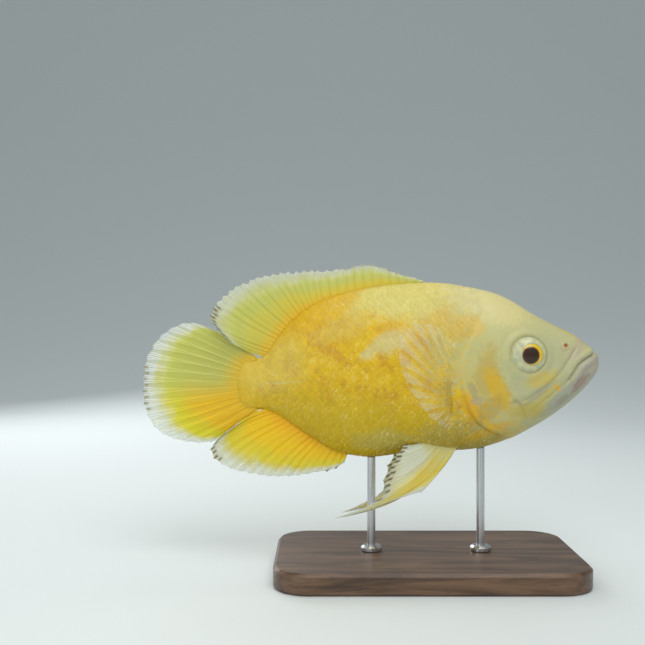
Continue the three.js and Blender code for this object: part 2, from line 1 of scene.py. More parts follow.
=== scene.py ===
import bpy
import bmesh
import math
import numpy as np
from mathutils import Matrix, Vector


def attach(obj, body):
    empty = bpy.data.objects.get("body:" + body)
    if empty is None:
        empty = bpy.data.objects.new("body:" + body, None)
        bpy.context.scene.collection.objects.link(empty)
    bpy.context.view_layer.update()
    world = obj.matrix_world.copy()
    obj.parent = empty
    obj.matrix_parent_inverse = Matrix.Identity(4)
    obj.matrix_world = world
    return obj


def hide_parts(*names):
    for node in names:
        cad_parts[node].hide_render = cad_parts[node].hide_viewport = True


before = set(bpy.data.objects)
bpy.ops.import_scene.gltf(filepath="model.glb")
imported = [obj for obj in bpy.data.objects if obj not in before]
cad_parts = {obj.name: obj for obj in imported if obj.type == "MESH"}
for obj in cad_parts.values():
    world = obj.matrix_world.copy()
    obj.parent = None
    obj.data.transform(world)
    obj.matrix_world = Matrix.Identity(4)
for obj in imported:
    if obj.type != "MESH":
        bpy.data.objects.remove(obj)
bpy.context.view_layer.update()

# The camera stands level with the fish's flank, at the photograph's distance and angle of view.
# Lengths are in metres, and the fish's nose points along +X.
VIEW_ANGLE = 40.0
CAMERA_PLACE = (-0.0455, -0.390, 0.1092)
camera_data = bpy.data.cameras.new("camera")
camera_data.sensor_fit = "HORIZONTAL"
camera_data.angle = math.radians(VIEW_ANGLE)
camera_data.clip_start = 0.01
camera = bpy.data.objects.new("camera", camera_data)
camera.location = CAMERA_PLACE
camera.rotation_euler = (math.radians(90), 0, 0)
bpy.context.collection.objects.link(camera)
bpy.context.scene.camera = camera

# A plain pale floor that curves up into a backdrop, lit by soft studio lamps: a broad key lamp
# above the fish's right shoulder, a weaker one low in front, one overhead and one behind.
FLOOR_HALF = 2.4
BACKDROP_FROM = 0.55
CURVE = {"radius": 1.5, "steps": 24}
WALL_RISE = 1.2
bpy.ops.object.select_all(action="DESELECT")
bpy.ops.mesh.primitive_plane_add(size=1, location=(0, 0, 0))
backdrop = bpy.context.object
backdrop.name = "floor"
for vertex in backdrop.data.vertices:
    vertex.co.x = math.copysign(FLOOR_HALF, vertex.co.x)
    vertex.co.y = BACKDROP_FROM if vertex.co.y > 0 else -FLOOR_HALF
bpy.ops.object.mode_set(mode="EDIT")
bpy.ops.mesh.select_all(action="DESELECT")
bpy.ops.mesh.select_mode(type="EDGE")
bpy.ops.object.mode_set(mode="OBJECT")
for edge in backdrop.data.edges:
    ends = [backdrop.data.vertices[i].co.y for i in edge.vertices]
    edge.select = min(ends) > 0
bpy.ops.object.mode_set(mode="EDIT")
for k in range(CURVE["steps"]):
    angle = math.radians(90 * (k + 0.5) / CURVE["steps"])
    step = CURVE["radius"] * math.radians(90) / CURVE["steps"]
    bpy.ops.mesh.extrude_region_move(
        TRANSFORM_OT_translate={"value": (0, step * math.cos(angle), step * math.sin(angle))}
    )
bpy.ops.mesh.extrude_region_move(TRANSFORM_OT_translate={"value": (0, 0, WALL_RISE)})
bpy.ops.object.mode_set(mode="OBJECT")
bpy.ops.object.shade_smooth()
backdrop.select_set(False)

paper = bpy.data.materials.new("pale_paper")
paper.use_nodes = True
paper_shader = paper.node_tree.nodes["Principled BSDF"]
paper_shader.inputs["Base Color"].default_value = (0.71, 0.755, 0.755, 1)
paper_shader.inputs["Roughness"].default_value = 0.85
backdrop.data.materials.append(paper)

LAMPS_AIM = (-0.02, 0, 0.09)
LAMPS = {
    "key": {"place": (0.10, -0.55, 0.75), "size": 0.55, "watts": 3.9, "tint": (1.0, 0.98, 0.94)},
    "fill": {"place": (-0.45, -0.60, 0.25), "size": 0.6, "watts": 1.2, "tint": (0.93, 0.98, 1.0)},
    "top": {"place": (-0.05, 0.10, 0.85), "size": 0.7, "watts": 1.7, "tint": (1.0, 1.0, 1.0)},
    "rim": {"place": (-0.35, 0.55, 0.40), "size": 0.5, "watts": 2.0, "tint": (1.0, 1.0, 1.0)},
}
for name, lamp in LAMPS.items():
    light = bpy.data.lights.new(name, "AREA")
    light.size = lamp["size"]
    light.energy = lamp["watts"]
    light.color = lamp["tint"]
    holder = bpy.data.objects.new(name, light)
    holder.location = lamp["place"]
    aim = Vector(LAMPS_AIM) - Vector(lamp["place"])
    holder.rotation_euler = aim.to_track_quat("-Z", "Y").to_euler()
    bpy.context.collection.objects.link(holder)

bpy.context.scene.view_settings.view_transform = "Standard"
world = bpy.context.scene.world or bpy.data.worlds.new("studio")
bpy.context.scene.world = world
world.use_nodes = True
room_light = world.node_tree.nodes["Background"]
room_light.inputs["Color"].default_value = (0.86, 0.93, 0.95, 1)
room_light.inputs["Strength"].default_value = 0.40

# The skin is one soft closed surface from the lips to the tail fin's base, shaped by its
# cross-sections. Lips, gill covers, cheek bones, nostrils and the eyes' rims are folds in it.
# Sizes are in millimetres from the belly's lowest point, as the fish's own measurements.
STAND_X = 7.0
RIDE_HEIGHT = 50.0
SWAY = {"from": -30.0, "to": -119.2, "reach": 7.0}
SECTIONS = [
    # back x, z, belly x, z, half width, widest share, fullness above, fullness below
    (80.9, 46.1, 82.6, 41.9, 3.2, 0.50, 2.0, 2.0),
    (79.4, 47.7, 82.3, 39.6, 5.6, 0.50, 2.0, 2.0),
    (77.2, 49.7, 81.2, 36.8, 7.8, 0.50, 2.0, 2.1),
    (73.9, 52.3, 78.6, 33.3, 9.7, 0.49, 2.1, 2.2),
    (69.5, 55.0, 74.1, 28.4, 11.3, 0.48, 2.2, 2.3),
    (64.2, 57.5, 67.9, 23.1, 12.8, 0.47, 2.3, 2.3),
    (58.5, 60.4, 60.8, 17.8, 14.0, 0.46, 2.3, 2.2),
    (51.9, 64.1, 53.2, 13.2, 15.0, 0.45, 2.3, 2.1),
    (44.4, 68.8, 44.9, 8.8, 16.1, 0.44, 2.2, 2.1),
    (36.1, 72.5, 36.1, 5.5, 17.0, 0.44, 2.1, 2.1),
    (26.4, 74.8, 26.4, 3.5, 17.4, 0.45, 2.0, 2.1),
    (13.2, 76.8, 13.2, 2.6, 17.2, 0.46, 1.9, 2.1),
    (-2.2, 76.6, -2.2, 1.8, 16.3, 0.48, 1.85, 2.0),
    (-17.6, 74.8, -17.6, 0.0, 14.6, 0.50, 1.8, 1.9),
    (-31.7, 71.5, -31.7, 2.2, 12.2, 0.50, 1.8, 1.8),
    (-43.1, 66.7, -42.2, 7.7, 9.6, 0.50, 1.8, 1.8),
    (-51.9, 60.4, -51.0, 13.6, 7.3, 0.50, 1.8, 1.8),
    (-58.5, 52.6, -57.6, 18.0, 5.6, 0.50, 1.9, 1.9),
    (-63.4, 45.4, -62.9, 20.4, 4.5, 0.50, 2.0, 2.0),
    (-68.2, 43.0, -67.8, 20.7, 3.6, 0.50, 2.0, 2.0),
    (-73.3, 42.6, -73.3, 20.7, 2.5, 0.50, 2.0, 2.0),
    (-75.8, 38.8, -75.8, 24.4, 1.6, 0.50, 2.0, 2.0),
]
SNOUT = (82.3, 44.1)
GAPE = [
    (84.6, 50.8), (80.5, 47.0), (78.6, 45.6), (74.5, 43.6), (71.2, 41.2), (69.3, 38.6), (67.6, 36.2),
    (65.6, 33.4),
]
JAW_FOLD = [(65.6, 33.4), (62.6, 31.3), (58.7, 27.9), (54.5, 24.5), (51.8, 21.1)]
LIP_CREASE = [
    (71.4, 49.5), (69.1, 46.6), (66.1, 42.4), (62.4, 37.3), (58.0, 33.1), (52.8, 29.3), (48.6, 26.6),
    (44.2, 25.6),
]
GILL_EDGE = [
    (30.0, 60.3), (25.5, 54.8), (22.0, 49.3), (20.0, 43.4), (19.6, 37.1), (20.4, 30.8), (22.4, 24.8),
    (25.6, 18.8), (30.1, 14.4), (35.8, 11.5), (41.6, 9.7), (47.0, 8.4),
]
SCALES_FROM = [(43, 92), (41.5, 74), (36.5, 66.5), *GILL_EDGE]
NAPE = {"share": (0.13, 0.22), "fade": 15.0}  # the scales sink into the skin over this reach there
SCALES_END_X = 45  # nothing in front of this is scaled
CHEEK_EDGE = [
    (46.0, 12.6), (47.6, 17.2), (46.8, 22.0), (43.6, 25.8), (40.2, 29.5), (37.1, 35.8), (35.4, 43.4),
    (35.2, 51.0), (33.4, 57.4),
]
EYE = {"place": (48.7, 45.4), "radius": 7.6}
NOSTRIL = (65.7, 49.4)
GILL_LIFT = 0.75
SKIN_DEPTH = 0.22  # how far the scaled skin lies under the scales' surface


def smooth_row(values, u):
    """A smooth value between a row of values, where u counts them from 0."""
    values = np.asarray(values, float)
    i = np.clip(np.floor(u).astype(int), 0, len(values) - 2)
    t = u - i
    a, b, c, d = (values[np.clip(i + k, 0, len(values) - 1)] for k in (-1, 0, 1, 2))
    return b + 0.5 * t * (c - a + t * (2 * a - 5 * b + 4 * c - d + t * (3 * (b - c) + d - a)))


def smooth_line(points, count):
    """Points spread along a smooth line through the given ones."""
    points = np.asarray(points, float)
    u = np.linspace(0, len(points) - 1, count)
    return np.stack([smooth_row(points[:, k], u) for k in range(points.shape[1])], axis=-1)


def nearest(line, x, z):
    """Distance to a side-view line, positive on its left, and the share of the line passed."""
    line = smooth_line(line, 60)
    best = np.full(x.shape, 1e9)
    share = np.zeros(x.shape)
    for i in range(len(line) - 1):
        (ax, az), (bx, bz) = line[i], line[i + 1]
        dx, dz = bx - ax, bz - az
        t = np.clip(((x - ax) * dx + (z - az) * dz) / (dx * dx + dz * dz), 0, 1)
        ox, oz = x - ax - t * dx, z - az - t * dz
        distance = np.hypot(ox, oz)
        closer = distance < np.abs(best)
        best = np.where(closer, np.where(dx * oz - dz * ox >= 0, distance, -distance), best)
        share = np.where(closer, (i + t) / (len(line) - 1), share)
    return best, share


def ramp(low, high, value):
    """Rises smoothly from 0 at low to 1 at high."""
    t = np.clip((value - low) / (high - low), 0, 1)
    return t * t * (3 - 2 * t)


def bell(distance, width):
    return np.exp(-((distance / width) ** 2))


def sway(x):
    return SWAY["reach"] * (np.maximum(0, SWAY["from"] - x) / (SWAY["from"] - SWAY["to"])) ** 2


def body_points(u, angle):
    """Points of the smooth body, in millimetres. The angle starts at the fish's left side."""
    back_x, back_z, belly_x, belly_z, half, widest, above, below = (
        smooth_row(column, u) for column in zip(*SECTIONS)
    )
    sine, cosine = np.sin(angle), np.cos(angle)
    power = 2 / np.where(sine >= 0, above, below)
    reach = np.sign(sine) * np.abs(sine) ** power
    share = widest + reach * np.where(sine >= 0, 1 - widest, widest)
    x = belly_x + (back_x - belly_x) * share
    z = belly_z + (back_z - belly_z) * share
    y = np.sign(cosine) * np.abs(cosine) ** power * half
    return np.stack([x, y + sway(x), z], axis=-1)


def head_relief(x, z):
    """How far the head's folds stand out of the smooth body at side-view places."""
    gape, gape_share = nearest(GAPE, x, z)
    fold, fold_share = nearest(JAW_FOLD, x, z)
    crease, crease_share = nearest(LIP_CREASE, x, z)
    edge, edge_share = nearest(GILL_EDGE, x, z)
    cheek, cheek_share = nearest(CHEEK_EDGE, x, z)
    open_lips = (1 - ramp(0.82, 1.0, gape_share)) * (1 - 0.75 * ramp(76, 80.5, x))
    lips = open_lips * (0.6 * bell(gape + 1.8, 1.3) + 0.75 * bell(gape - 2.0, 1.4))
    lips -= open_lips * 0.35 * bell(gape - 4.6, 0.8)
    mouth = 1.2 * bell(gape, 0.45) * (1 - ramp(0.9, 1.0, gape_share)) * (1 - 0.4 * ramp(78, 81, x))
    folds = 0.32 * bell(fold, 0.7) * (1 - ramp(0.8, 1.0, fold_share))
    folds += 0.5 * bell(crease, 0.6) * ramp(0.0, 0.15, crease_share) * (1 - ramp(0.8, 1.0, crease_share))
    puff = 0.35 * bell(crease + 2.2, 1.6) * ramp(0.2, 0.5, crease_share)
    from_eye = np.hypot(x - EYE["place"][0], z - EYE["place"][1]) - EYE["radius"]
    orbit = 0.28 * bell(from_eye - 1.5, 1.5) - 0.6 * bell(from_eye + 0.2, 0.7)
    orbit -= 0.10 * bell(from_eye - 4.2, 1.2)
    inside = ramp(-0.12, 0.22, edge)
    free = ramp(0.02, 0.14, edge_share) * (1 - ramp(0.74, 0.93, edge_share))
    cover = GILL_LIFT * inside * np.exp(-np.maximum(edge, 0) / 7.0) * free
    slit = 0.45 * bell(edge + 0.35, 0.45) * free
    rays = 0.10 * inside * np.cos(edge * 2 * math.pi / 1.9) * ramp(0.5, 0.6, edge_share) * bell(edge - 3, 3)
    rays *= 1 - ramp(0.80, 0.95, edge_share)
    bone = 0.42 * (1 - ramp(-0.25, 0.15, cheek)) * np.exp(np.minimum(cheek, 0) / 4.0)
    bone *= ramp(0.05, 0.2, cheek_share) * (1 - ramp(0.8, 0.98, cheek_share))
    pit = np.hypot(x - NOSTRIL[0], z - NOSTRIL[1])
    nostril = 0.22 * bell(pit - 1.25, 0.45) - 0.95 * bell(pit, 0.62)
    return lips - mouth - folds + puff + orbit + cover - slit + rays + bone + nostril


def mesh_object(name, points, faces):
    """A mesh object at the origin. Points come in the fish's millimetres."""
    points = (np.asarray(points, float) + (-STAND_X, 0, RIDE_HEIGHT)) * 0.001
    mesh = bpy.data.meshes.new(name)
    mesh.from_pydata(points.tolist(), [], [list(face) for face in faces])
    mesh.validate()
    mesh.polygons.foreach_set("use_smooth", [True] * len(mesh.polygons))
    made = bpy.data.objects.new(name, mesh)
    bpy.context.collection.objects.link(made)
    return made


def face_outwards(made):
    """Turns a closed mesh's faces outwards."""
    work = bmesh.new()
    work.from_mesh(made.data)
    bmesh.ops.recalc_face_normals(work, faces=work.faces)
    work.to_mesh(made.data)
    work.free()


HEAD_RINGS = 190
BODY_RINGS = 110
SIDES = 250
HEAD_END = 11.2  # the section behind the gill covers
SLOPE_STEP = 0.02  # how far apart two places are taken to find the surface's slope


def skin_surface():
    """The skin's grid of points, ring by ring from the snout."""
    u = np.concatenate([
        np.linspace(0, HEAD_END, HEAD_RINGS, endpoint=False),
        np.linspace(HEAD_END, len(SECTIONS) - 1, BODY_RINGS),
    ])
    angle = np.linspace(0, 2 * math.pi, SIDES, endpoint=False)
    grid_u, grid_angle = np.meshgrid(u, angle, indexing="ij")
    points = body_points(grid_u, grid_angle)
    ahead = body_points(np.maximum(grid_u - SLOPE_STEP, 0), grid_angle)
    along = body_points(np.minimum(grid_u + SLOPE_STEP, u[-1]), grid_angle) - ahead
    around = body_points(grid_u, grid_angle + SLOPE_STEP) - body_points(grid_u, grid_angle - SLOPE_STEP)
    normal = np.cross(along, around)
    normal /= np.maximum(np.linalg.norm(normal, axis=-1, keepdims=True), 1e-9)
    edge, edge_share = nearest(SCALES_FROM, points[..., 0], points[..., 2])
    nape = 1 - ramp(*NAPE["share"], edge_share)
    scaled = (1 - nape) * (1 - ramp(-2.0, 0.0, edge)) + nape * (1 - ramp(-NAPE["fade"], -1.0, edge))
    scaled = scaled * (points[..., 0] < SCALES_END_X + 1)
    lift = head_relief(points[..., 0], points[..., 2]) - 0.04 - SKIN_DEPTH * scaled
    return points + normal * lift[..., None]


def cap_rings(ring, tip, steps):
    """Rings that close an end roundly, from a ring towards its tip."""
    middle = ring.mean(axis=0)
    rings = []
    for k in range(1, steps):
        turn = math.radians(90 * k / steps)
        rings.append(middle + (ring - middle) * math.cos(turn) + (np.asarray(tip) - middle) * math.sin(turn))
    return rings


def closed_loft(name, rings, first, last):
    """A closed surface through rings of points with a point at each end."""
    count = len(rings[0])
    points = [first, *np.concatenate(rings), last]
    last_ring = 1 + (len(rings) - 1) * count
    faces = []
    for k in range(count):
        n = (k + 1) % count
        faces.append((0, 1 + n, 1 + k))
        faces.append((len(points) - 1, last_ring + k, last_ring + n))
    for r in range(len(rings) - 1):
        a, b = 1 + r * count, 1 + (r + 1) * count
        faces.extend((a + k, a + (k + 1) % count, b + (k + 1) % count, b + k) for k in range(count))
    made = mesh_object(name, points, faces)
    face_outwards(made)
    return made


skin_grid = skin_surface()
snout_tip = (SNOUT[0], 0, SNOUT[1])
front_caps = cap_rings(skin_grid[0], snout_tip, 8)[::-1]
tail_tip = skin_grid[-1].mean(axis=0) - (0.4, 0, 0)
rear_caps = cap_rings(skin_grid[-1], tail_tip, 5)
skin = closed_loft("skin", [*front_caps, *skin_grid, *rear_caps], snout_tip, tail_tip)

# Albino skin: golden flanks, a paler back, a cream-grey head and grey lips, with loose orange
# patches. The patches are ragged ellipses seen from the side, each laid over the ones before it.
GOLD = (0.78, 0.49, 0.004)
DEEP_GOLD = (0.70, 0.425, 0.004)
PALE_BACK = (0.67, 0.57, 0.15)
CREAM = (0.52, 0.50, 0.22)
GREY_CREAM = (0.44, 0.44, 0.25)
ORANGE = (0.72, 0.40, 0.012)
LIP_GREY = (0.40, 0.37, 0.31)
PEARL = (0.64, 0.58, 0.28)
RUST = (0.40, 0.13, 0.06)
STAIN = (0.60, 0.30, 0.010)
GLEAM = (0.84, 0.62, 0.06)
SOFT_EDGE = 0.4
SMALL_PATCH = 5  # a patch narrower than this keeps its place, and wider ones wander
PATCHES = [
    # place x, z, reach along, across, tilt, colour, strength, and an edge of its own
    (6, 71, 43, 12, -2, PALE_BACK, 0.95),
    (-40, 64, 22, 5.5, 32, (0.72, 0.42, 0.015), 0.75),
    (-75, 31, 8, 15, 0, (0.74, 0.46, 0.012), 0.9),
    (-60, 40, 16, 12, 20, PALE_BACK, 0.35),
    (-30, 12, 46, 16, -6, (0.60, 0.41, 0.006), 0.8),
    (22, 8, 22, 9, 0, (0.40, 0.33, 0.07), 0.7),
    (22, 52, 17, 22, 12, (0.60, 0.47, 0.12), 0.75),
    (60, 45, 41, 40, 0, CREAM, 1.0, 0.28),
    (62, 34, 24, 20, -35, GREY_CREAM, 0.85),
    (33, 70, 20, 9, -22, (0.66, 0.58, 0.26), 0.8),
    (64, 58.5, 26, 1.5, -31, ORANGE, 0.5),
    (31, 38, 5.5, 11, -8, (0.50, 0.36, 0.08), 0.7),
    (35.5, 31, 3.8, 10, 28, (0.66, 0.41, 0.015), 0.85),
    (30, 21, 10, 4, 38, (0.46, 0.30, 0.05), 0.6),
    (23.5, 23.5, 2.6, 6.5, 25, ORANGE, 0.95),
    (32, 12.5, 12, 2.0, 22, ORANGE, 0.6),
    (54.4, 35.2, 7, 3.0, 16, (0.60, 0.45, 0.06), 0.65),
    (49.5, 22, 8, 3.6, 4, (0.52, 0.41, 0.06), 0.75),
    (57.0, 28.6, 7, 1.9, 38, (0.58, 0.46, 0.09), 0.6),
    (61.5, 31.5, 2.2, 0.8, -35, ORANGE, 0.85),
    (22, 57, 8, 5, 10, (0.68, 0.42, 0.04), 0.6),
    (10, 60, 7, 3.5, 40, (0.68, 0.42, 0.04), 0.55),
    (-10, 56, 7, 3.2, 6, ORANGE, 0.6),
    (-10, 51, 8, 4.6, 24, PEARL, 0.65),
    (-19, 46, 4, 2.2, 30, PEARL, 0.6),
    (-31, 57, 12, 5, 20, (0.66, 0.45, 0.08), 0.6),
    (-12, 8, 13, 5, 0, (0.46, 0.43, 0.12), 0.5),
    (24.5, 31.0, 1.6, 4.2, 22, (0.28, 0.23, 0.15), 0.4),
    (26.5, 26.0, 2.4, 2.0, 0, (0.40, 0.33, 0.22), 0.6),
    (65.5, 27.8, 11, 3.4, 41, (0.36, 0.38, 0.32), 0.75),
    (-57, 33, 9, 0.45, 4, PEARL, 0.3),
    (75, 38, 10, 4.6, 49, LIP_GREY, 0.85),
    (70.5, 47.5, 6, 2.6, 50, (0.46, 0.38, 0.27), 0.6),
    (72.0, 33.4, 5.0, 1.6, 48, (0.26, 0.13, 0.09), 0.5),
    (64.5, 26.2, 3.6, 1.6, 40, (0.26, 0.15, 0.10), 0.3),
    # The next two thin dark lines lie along the lip crease and at its end: painted shade in the crease, over
    # the crease's own grey smudges.
    (54.0, 29.3, 8.0, 0.9, 38, (0.30, 0.24, 0.21), 0.42),
    (44.4, 25.6, 3.0, 0.9, -25, (0.30, 0.25, 0.21), 0.3),
    (65.7, 49.4, 0.95, 0.85, 0, RUST, 0.95),
    (64.9, 48.2, 2.0, 1.5, 0, RUST, 0.18),
]


def add_node(tree, kind, **settings):
    node = tree.nodes.new(kind)
    for name, value in settings.items():
        setattr(node, name, value)
    return node


def fish_millimetres(tree):
    """Object coordinates turned into the fish's own millimetres."""
    coordinates = add_node(tree, "ShaderNodeTexCoord")
    place = add_node(tree, "ShaderNodeMapping", vector_type="POINT")
    place.inputs["Location"].default_value = (STAND_X, 0, -RIDE_HEIGHT)
    place.inputs["Scale"].default_value = (1000, 1000, 1000)
    tree.links.new(coordinates.outputs["Object"], place.inputs["Vector"])
    return place.outputs["Vector"]


def attribute(tree, name):
    """A value stored on a mesh's points."""
    return add_node(tree, "ShaderNodeAttribute", attribute_name=name).outputs["Fac"]


def side_view(tree, vector):
    """A place or a distance with its sideways share left out."""
    flat = add_node(tree, "ShaderNodeVectorMath", operation="MULTIPLY")
    flat.inputs[1].default_value = (1, 0, 1)
    tree.links.new(vector, flat.inputs[0])
    return flat.outputs["Vector"]


def noise(tree, vector, scale, detail=3.0, roughness=0.55, distortion=0.0):
    texture = add_node(tree, "ShaderNodeTexNoise")
    texture.inputs["Scale"].default_value = scale
    texture.inputs["Detail"].default_value = detail
    texture.inputs["Roughness"].default_value = roughness
    texture.inputs["Distortion"].default_value = distortion
    tree.links.new(vector, texture.inputs["Vector"])
    return texture.outputs["Fac"]


def spread(tree, value, low, high, to_low=0.0, to_high=1.0):
    """Maps a value from one range to another, smoothly."""
    node = add_node(tree, "ShaderNodeMapRange", interpolation_type="SMOOTHSTEP")
    for name, number in zip(("From Min", "From Max", "To Min", "To Max"), (low, high, to_low, to_high)):
        node.inputs[name].default_value = number
    tree.links.new(value, node.inputs["Value"])
    return node.outputs["Result"]


def blend(tree, factor, first, second, mode="MIX"):
    """A colour mix. The colours and the factor are sockets or plain values."""
    node = add_node(tree, "ShaderNodeMix", data_type="RGBA", blend_type=mode)
    for socket, value in ((node.inputs[0], factor), (node.inputs[6], first), (node.inputs[7], second)):
        if isinstance(value, bpy.types.NodeSocket):
            tree.links.new(value, socket)
        else:
            socket.default_value = (*value, 1) if isinstance(value, tuple) else value
    return node.outputs[2]


def calculate(tree, operation, first, second=None):
    node = add_node(tree, "ShaderNodeMath", operation=operation)
    for socket, value in zip(node.inputs, (first, second)):
        if isinstance(value, bpy.types.NodeSocket):
            tree.links.new(value, socket)
        elif value is not None:
            socket.default_value = value
    return node.outputs[0]


def marked_skin(tree):
    """The fish's colour at any place, the same for its skin and its scales."""
    place = fish_millimetres(tree)
    wander = noise(tree, place, 0.09, detail=4.0, roughness=0.6)
    centred = add_node(tree, "ShaderNodeVectorMath", operation="SUBTRACT")
    centred.inputs[1].default_value = (0.5, 0.5, 0.5)
    tree.links.new(wander.node.outputs["Color"], centred.inputs[0])
    moved = add_node(tree, "ShaderNodeVectorMath", operation="MULTIPLY_ADD")
    moved.inputs[1].default_value = (9.0, 0, 9.0)
    tree.links.new(centred.outputs["Vector"], moved.inputs[0])
    tree.links.new(place, moved.inputs[2])
    still = side_view(tree, place)
    wandering = side_view(tree, moved.outputs["Vector"])
    mottle = noise(tree, place, 0.22, detail=5.0, roughness=0.65)
    colour = blend(tree, spread(tree, mottle, 0.35, 0.68), DEEP_GOLD, GOLD)
    stain = noise(tree, moved.outputs["Vector"], 0.13, detail=6.0, roughness=0.72)
    colour = blend(tree, spread(tree, stain, 0.50, 0.62, 0.0, 0.8), colour, STAIN)
    colour = blend(tree, spread(tree, stain, 0.46, 0.32, 0.0, 0.5), colour, GLEAM)
    frayed = noise(tree, place, 0.45, detail=5.0, roughness=0.7)
    patch_edge = calculate(tree, "MULTIPLY", calculate(tree, "SUBTRACT", frayed, 0.5), 1.7)
    for x, z, length, width, tilt, shade, strength, *own_edge in PATCHES:
        local = add_node(tree, "ShaderNodeMapping", vector_type="TEXTURE")
        local.inputs["Location"].default_value = (x, 0, z)
        local.inputs["Rotation"].default_value = (0, -math.radians(tilt), 0)
        local.inputs["Scale"].default_value = (length, 1, width)
        tree.links.new(still if min(length, width) < SMALL_PATCH else wandering, local.inputs["Vector"])
        far = add_node(tree, "ShaderNodeVectorMath", operation="LENGTH")
        tree.links.new(local.outputs["Vector"], far.inputs[0])
        soft = own_edge[0] if own_edge else SOFT_EDGE
        ragged = calculate(tree, "ADD", far.outputs["Value"], patch_edge)
        colour = blend(tree, spread(tree, ragged, 1 + soft, 1 - soft, 0.0, strength), colour, shade)
    return place, colour


def fresh_material(name, roughness, coat=0.0, specular=0.5):
    material = bpy.data.materials.new(name)
    material.use_nodes = True
    shader = next(node for node in material.node_tree.nodes if node.type == "BSDF_PRINCIPLED")
    shader.inputs["Roughness"].default_value = roughness
    shader.inputs["Specular IOR Level"].default_value = specular
    shader.inputs["Coat Weight"].default_value = coat
    shader.inputs["Coat Roughness"].default_value = 0.18
    return material, material.node_tree, shader


def bumped(tree, shader, height, strength, distance):
    bump = add_node(tree, "ShaderNodeBump")
    bump.inputs["Strength"].default_value = strength
    bump.inputs["Distance"].default_value = distance
    tree.links.new(height, bump.inputs["Height"])
    tree.links.new(bump.outputs["Normal"], shader.inputs["Normal"])


def soft_flesh(shader):
    shader.inputs["Subsurface Weight"].default_value = 0.10
    shader.inputs["Subsurface Radius"].default_value = (1.0, 0.7, 0.25)
    shader.inputs["Subsurface Scale"].default_value = 0.0015


skin_material, tree, shader = fresh_material("wet_albino_skin", 0.44, coat=0.12, specular=0.3)
place, colour = marked_skin(tree)
freckle = noise(tree, place, 1.1, detail=4.0, roughness=0.7)
colour = blend(tree, spread(tree, freckle, 0.5, 0.75, 0.0, 0.22), colour, PEARL)
vein = noise(tree, place, 0.35, detail=6.0, roughness=0.7, distortion=0.6)
colour = blend(tree, spread(tree, vein, 0.56, 0.7, 0.0, 0.16), colour, RUST)
tree.links.new(colour, shader.inputs["Base Color"])
pores = noise(tree, place, 1.6, detail=5.0, roughness=0.7)
bumped(tree, shader, pores, 0.35, 0.0002)
soft_flesh(shader)
skin.data.materials.append(skin_material)
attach(skin, "root")
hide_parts("head", "lower_jaw", "gill_cover_left", "gill_cover_right", "trunk", "tail_stalk")

# Scales: thin rounded plates of bone under clear skin, rooted towards the head and lapping over
# the ones behind like roof tiles. They cover the flanks in rows that follow the fish's midline.
SCALE = {"pitch_along": 1.6, "pitch_across": 3.1, "length": 4.0, "width": 3.35, "rise": 0.15, "sink": 0.10}
SCALE_SHARES = np.array([0.0, 0.3, 0.6, 0.84, 0.96, 1.0])
SCALE_HEIGHTS = np.array([-1.0, -0.1, 0.5, 0.95, 0.85, -0.3])
SCALE_COLUMNS = 7
STRAY = {"size": 0.05, "twist": 0.09, "along": 0.22, "across": 0.16}  # how far a scale strays by chance
EDGE_GAP = 0.4  # clear of the middle lines of the back and the belly
EDGE_SCALES = {"reach": 9.0, "size": 0.72}  # scales are smaller near those lines
STALK_FADE = (-75.0, -66.0)  # the scales flatten towards the tail fin
BAKE_PATCH = 0.003


def scale_lattice():
    """Table of one flank: section numbers, angles, and lengths round it and along it."""
    u = np.linspace(9.0, len(SECTIONS) - 1.05, 240)
    half_turn = np.linspace(-math.pi / 2, math.pi / 2, 181)
    grid_u, grid_angle = np.meshgrid(u, half_turn, indexing="ij")
    points = body_points(grid_u, grid_angle)
    steps = np.linalg.norm(np.diff(points, axis=1), axis=-1)
    around = np.concatenate([np.zeros((len(u), 1)), np.cumsum(steps, axis=1)], axis=1)
    around -= around[:, 90:91]
    along = np.concatenate([[0], np.cumsum(np.linalg.norm(np.diff(points[:, 90], axis=0), axis=-1))])
    return u, half_turn, around, along


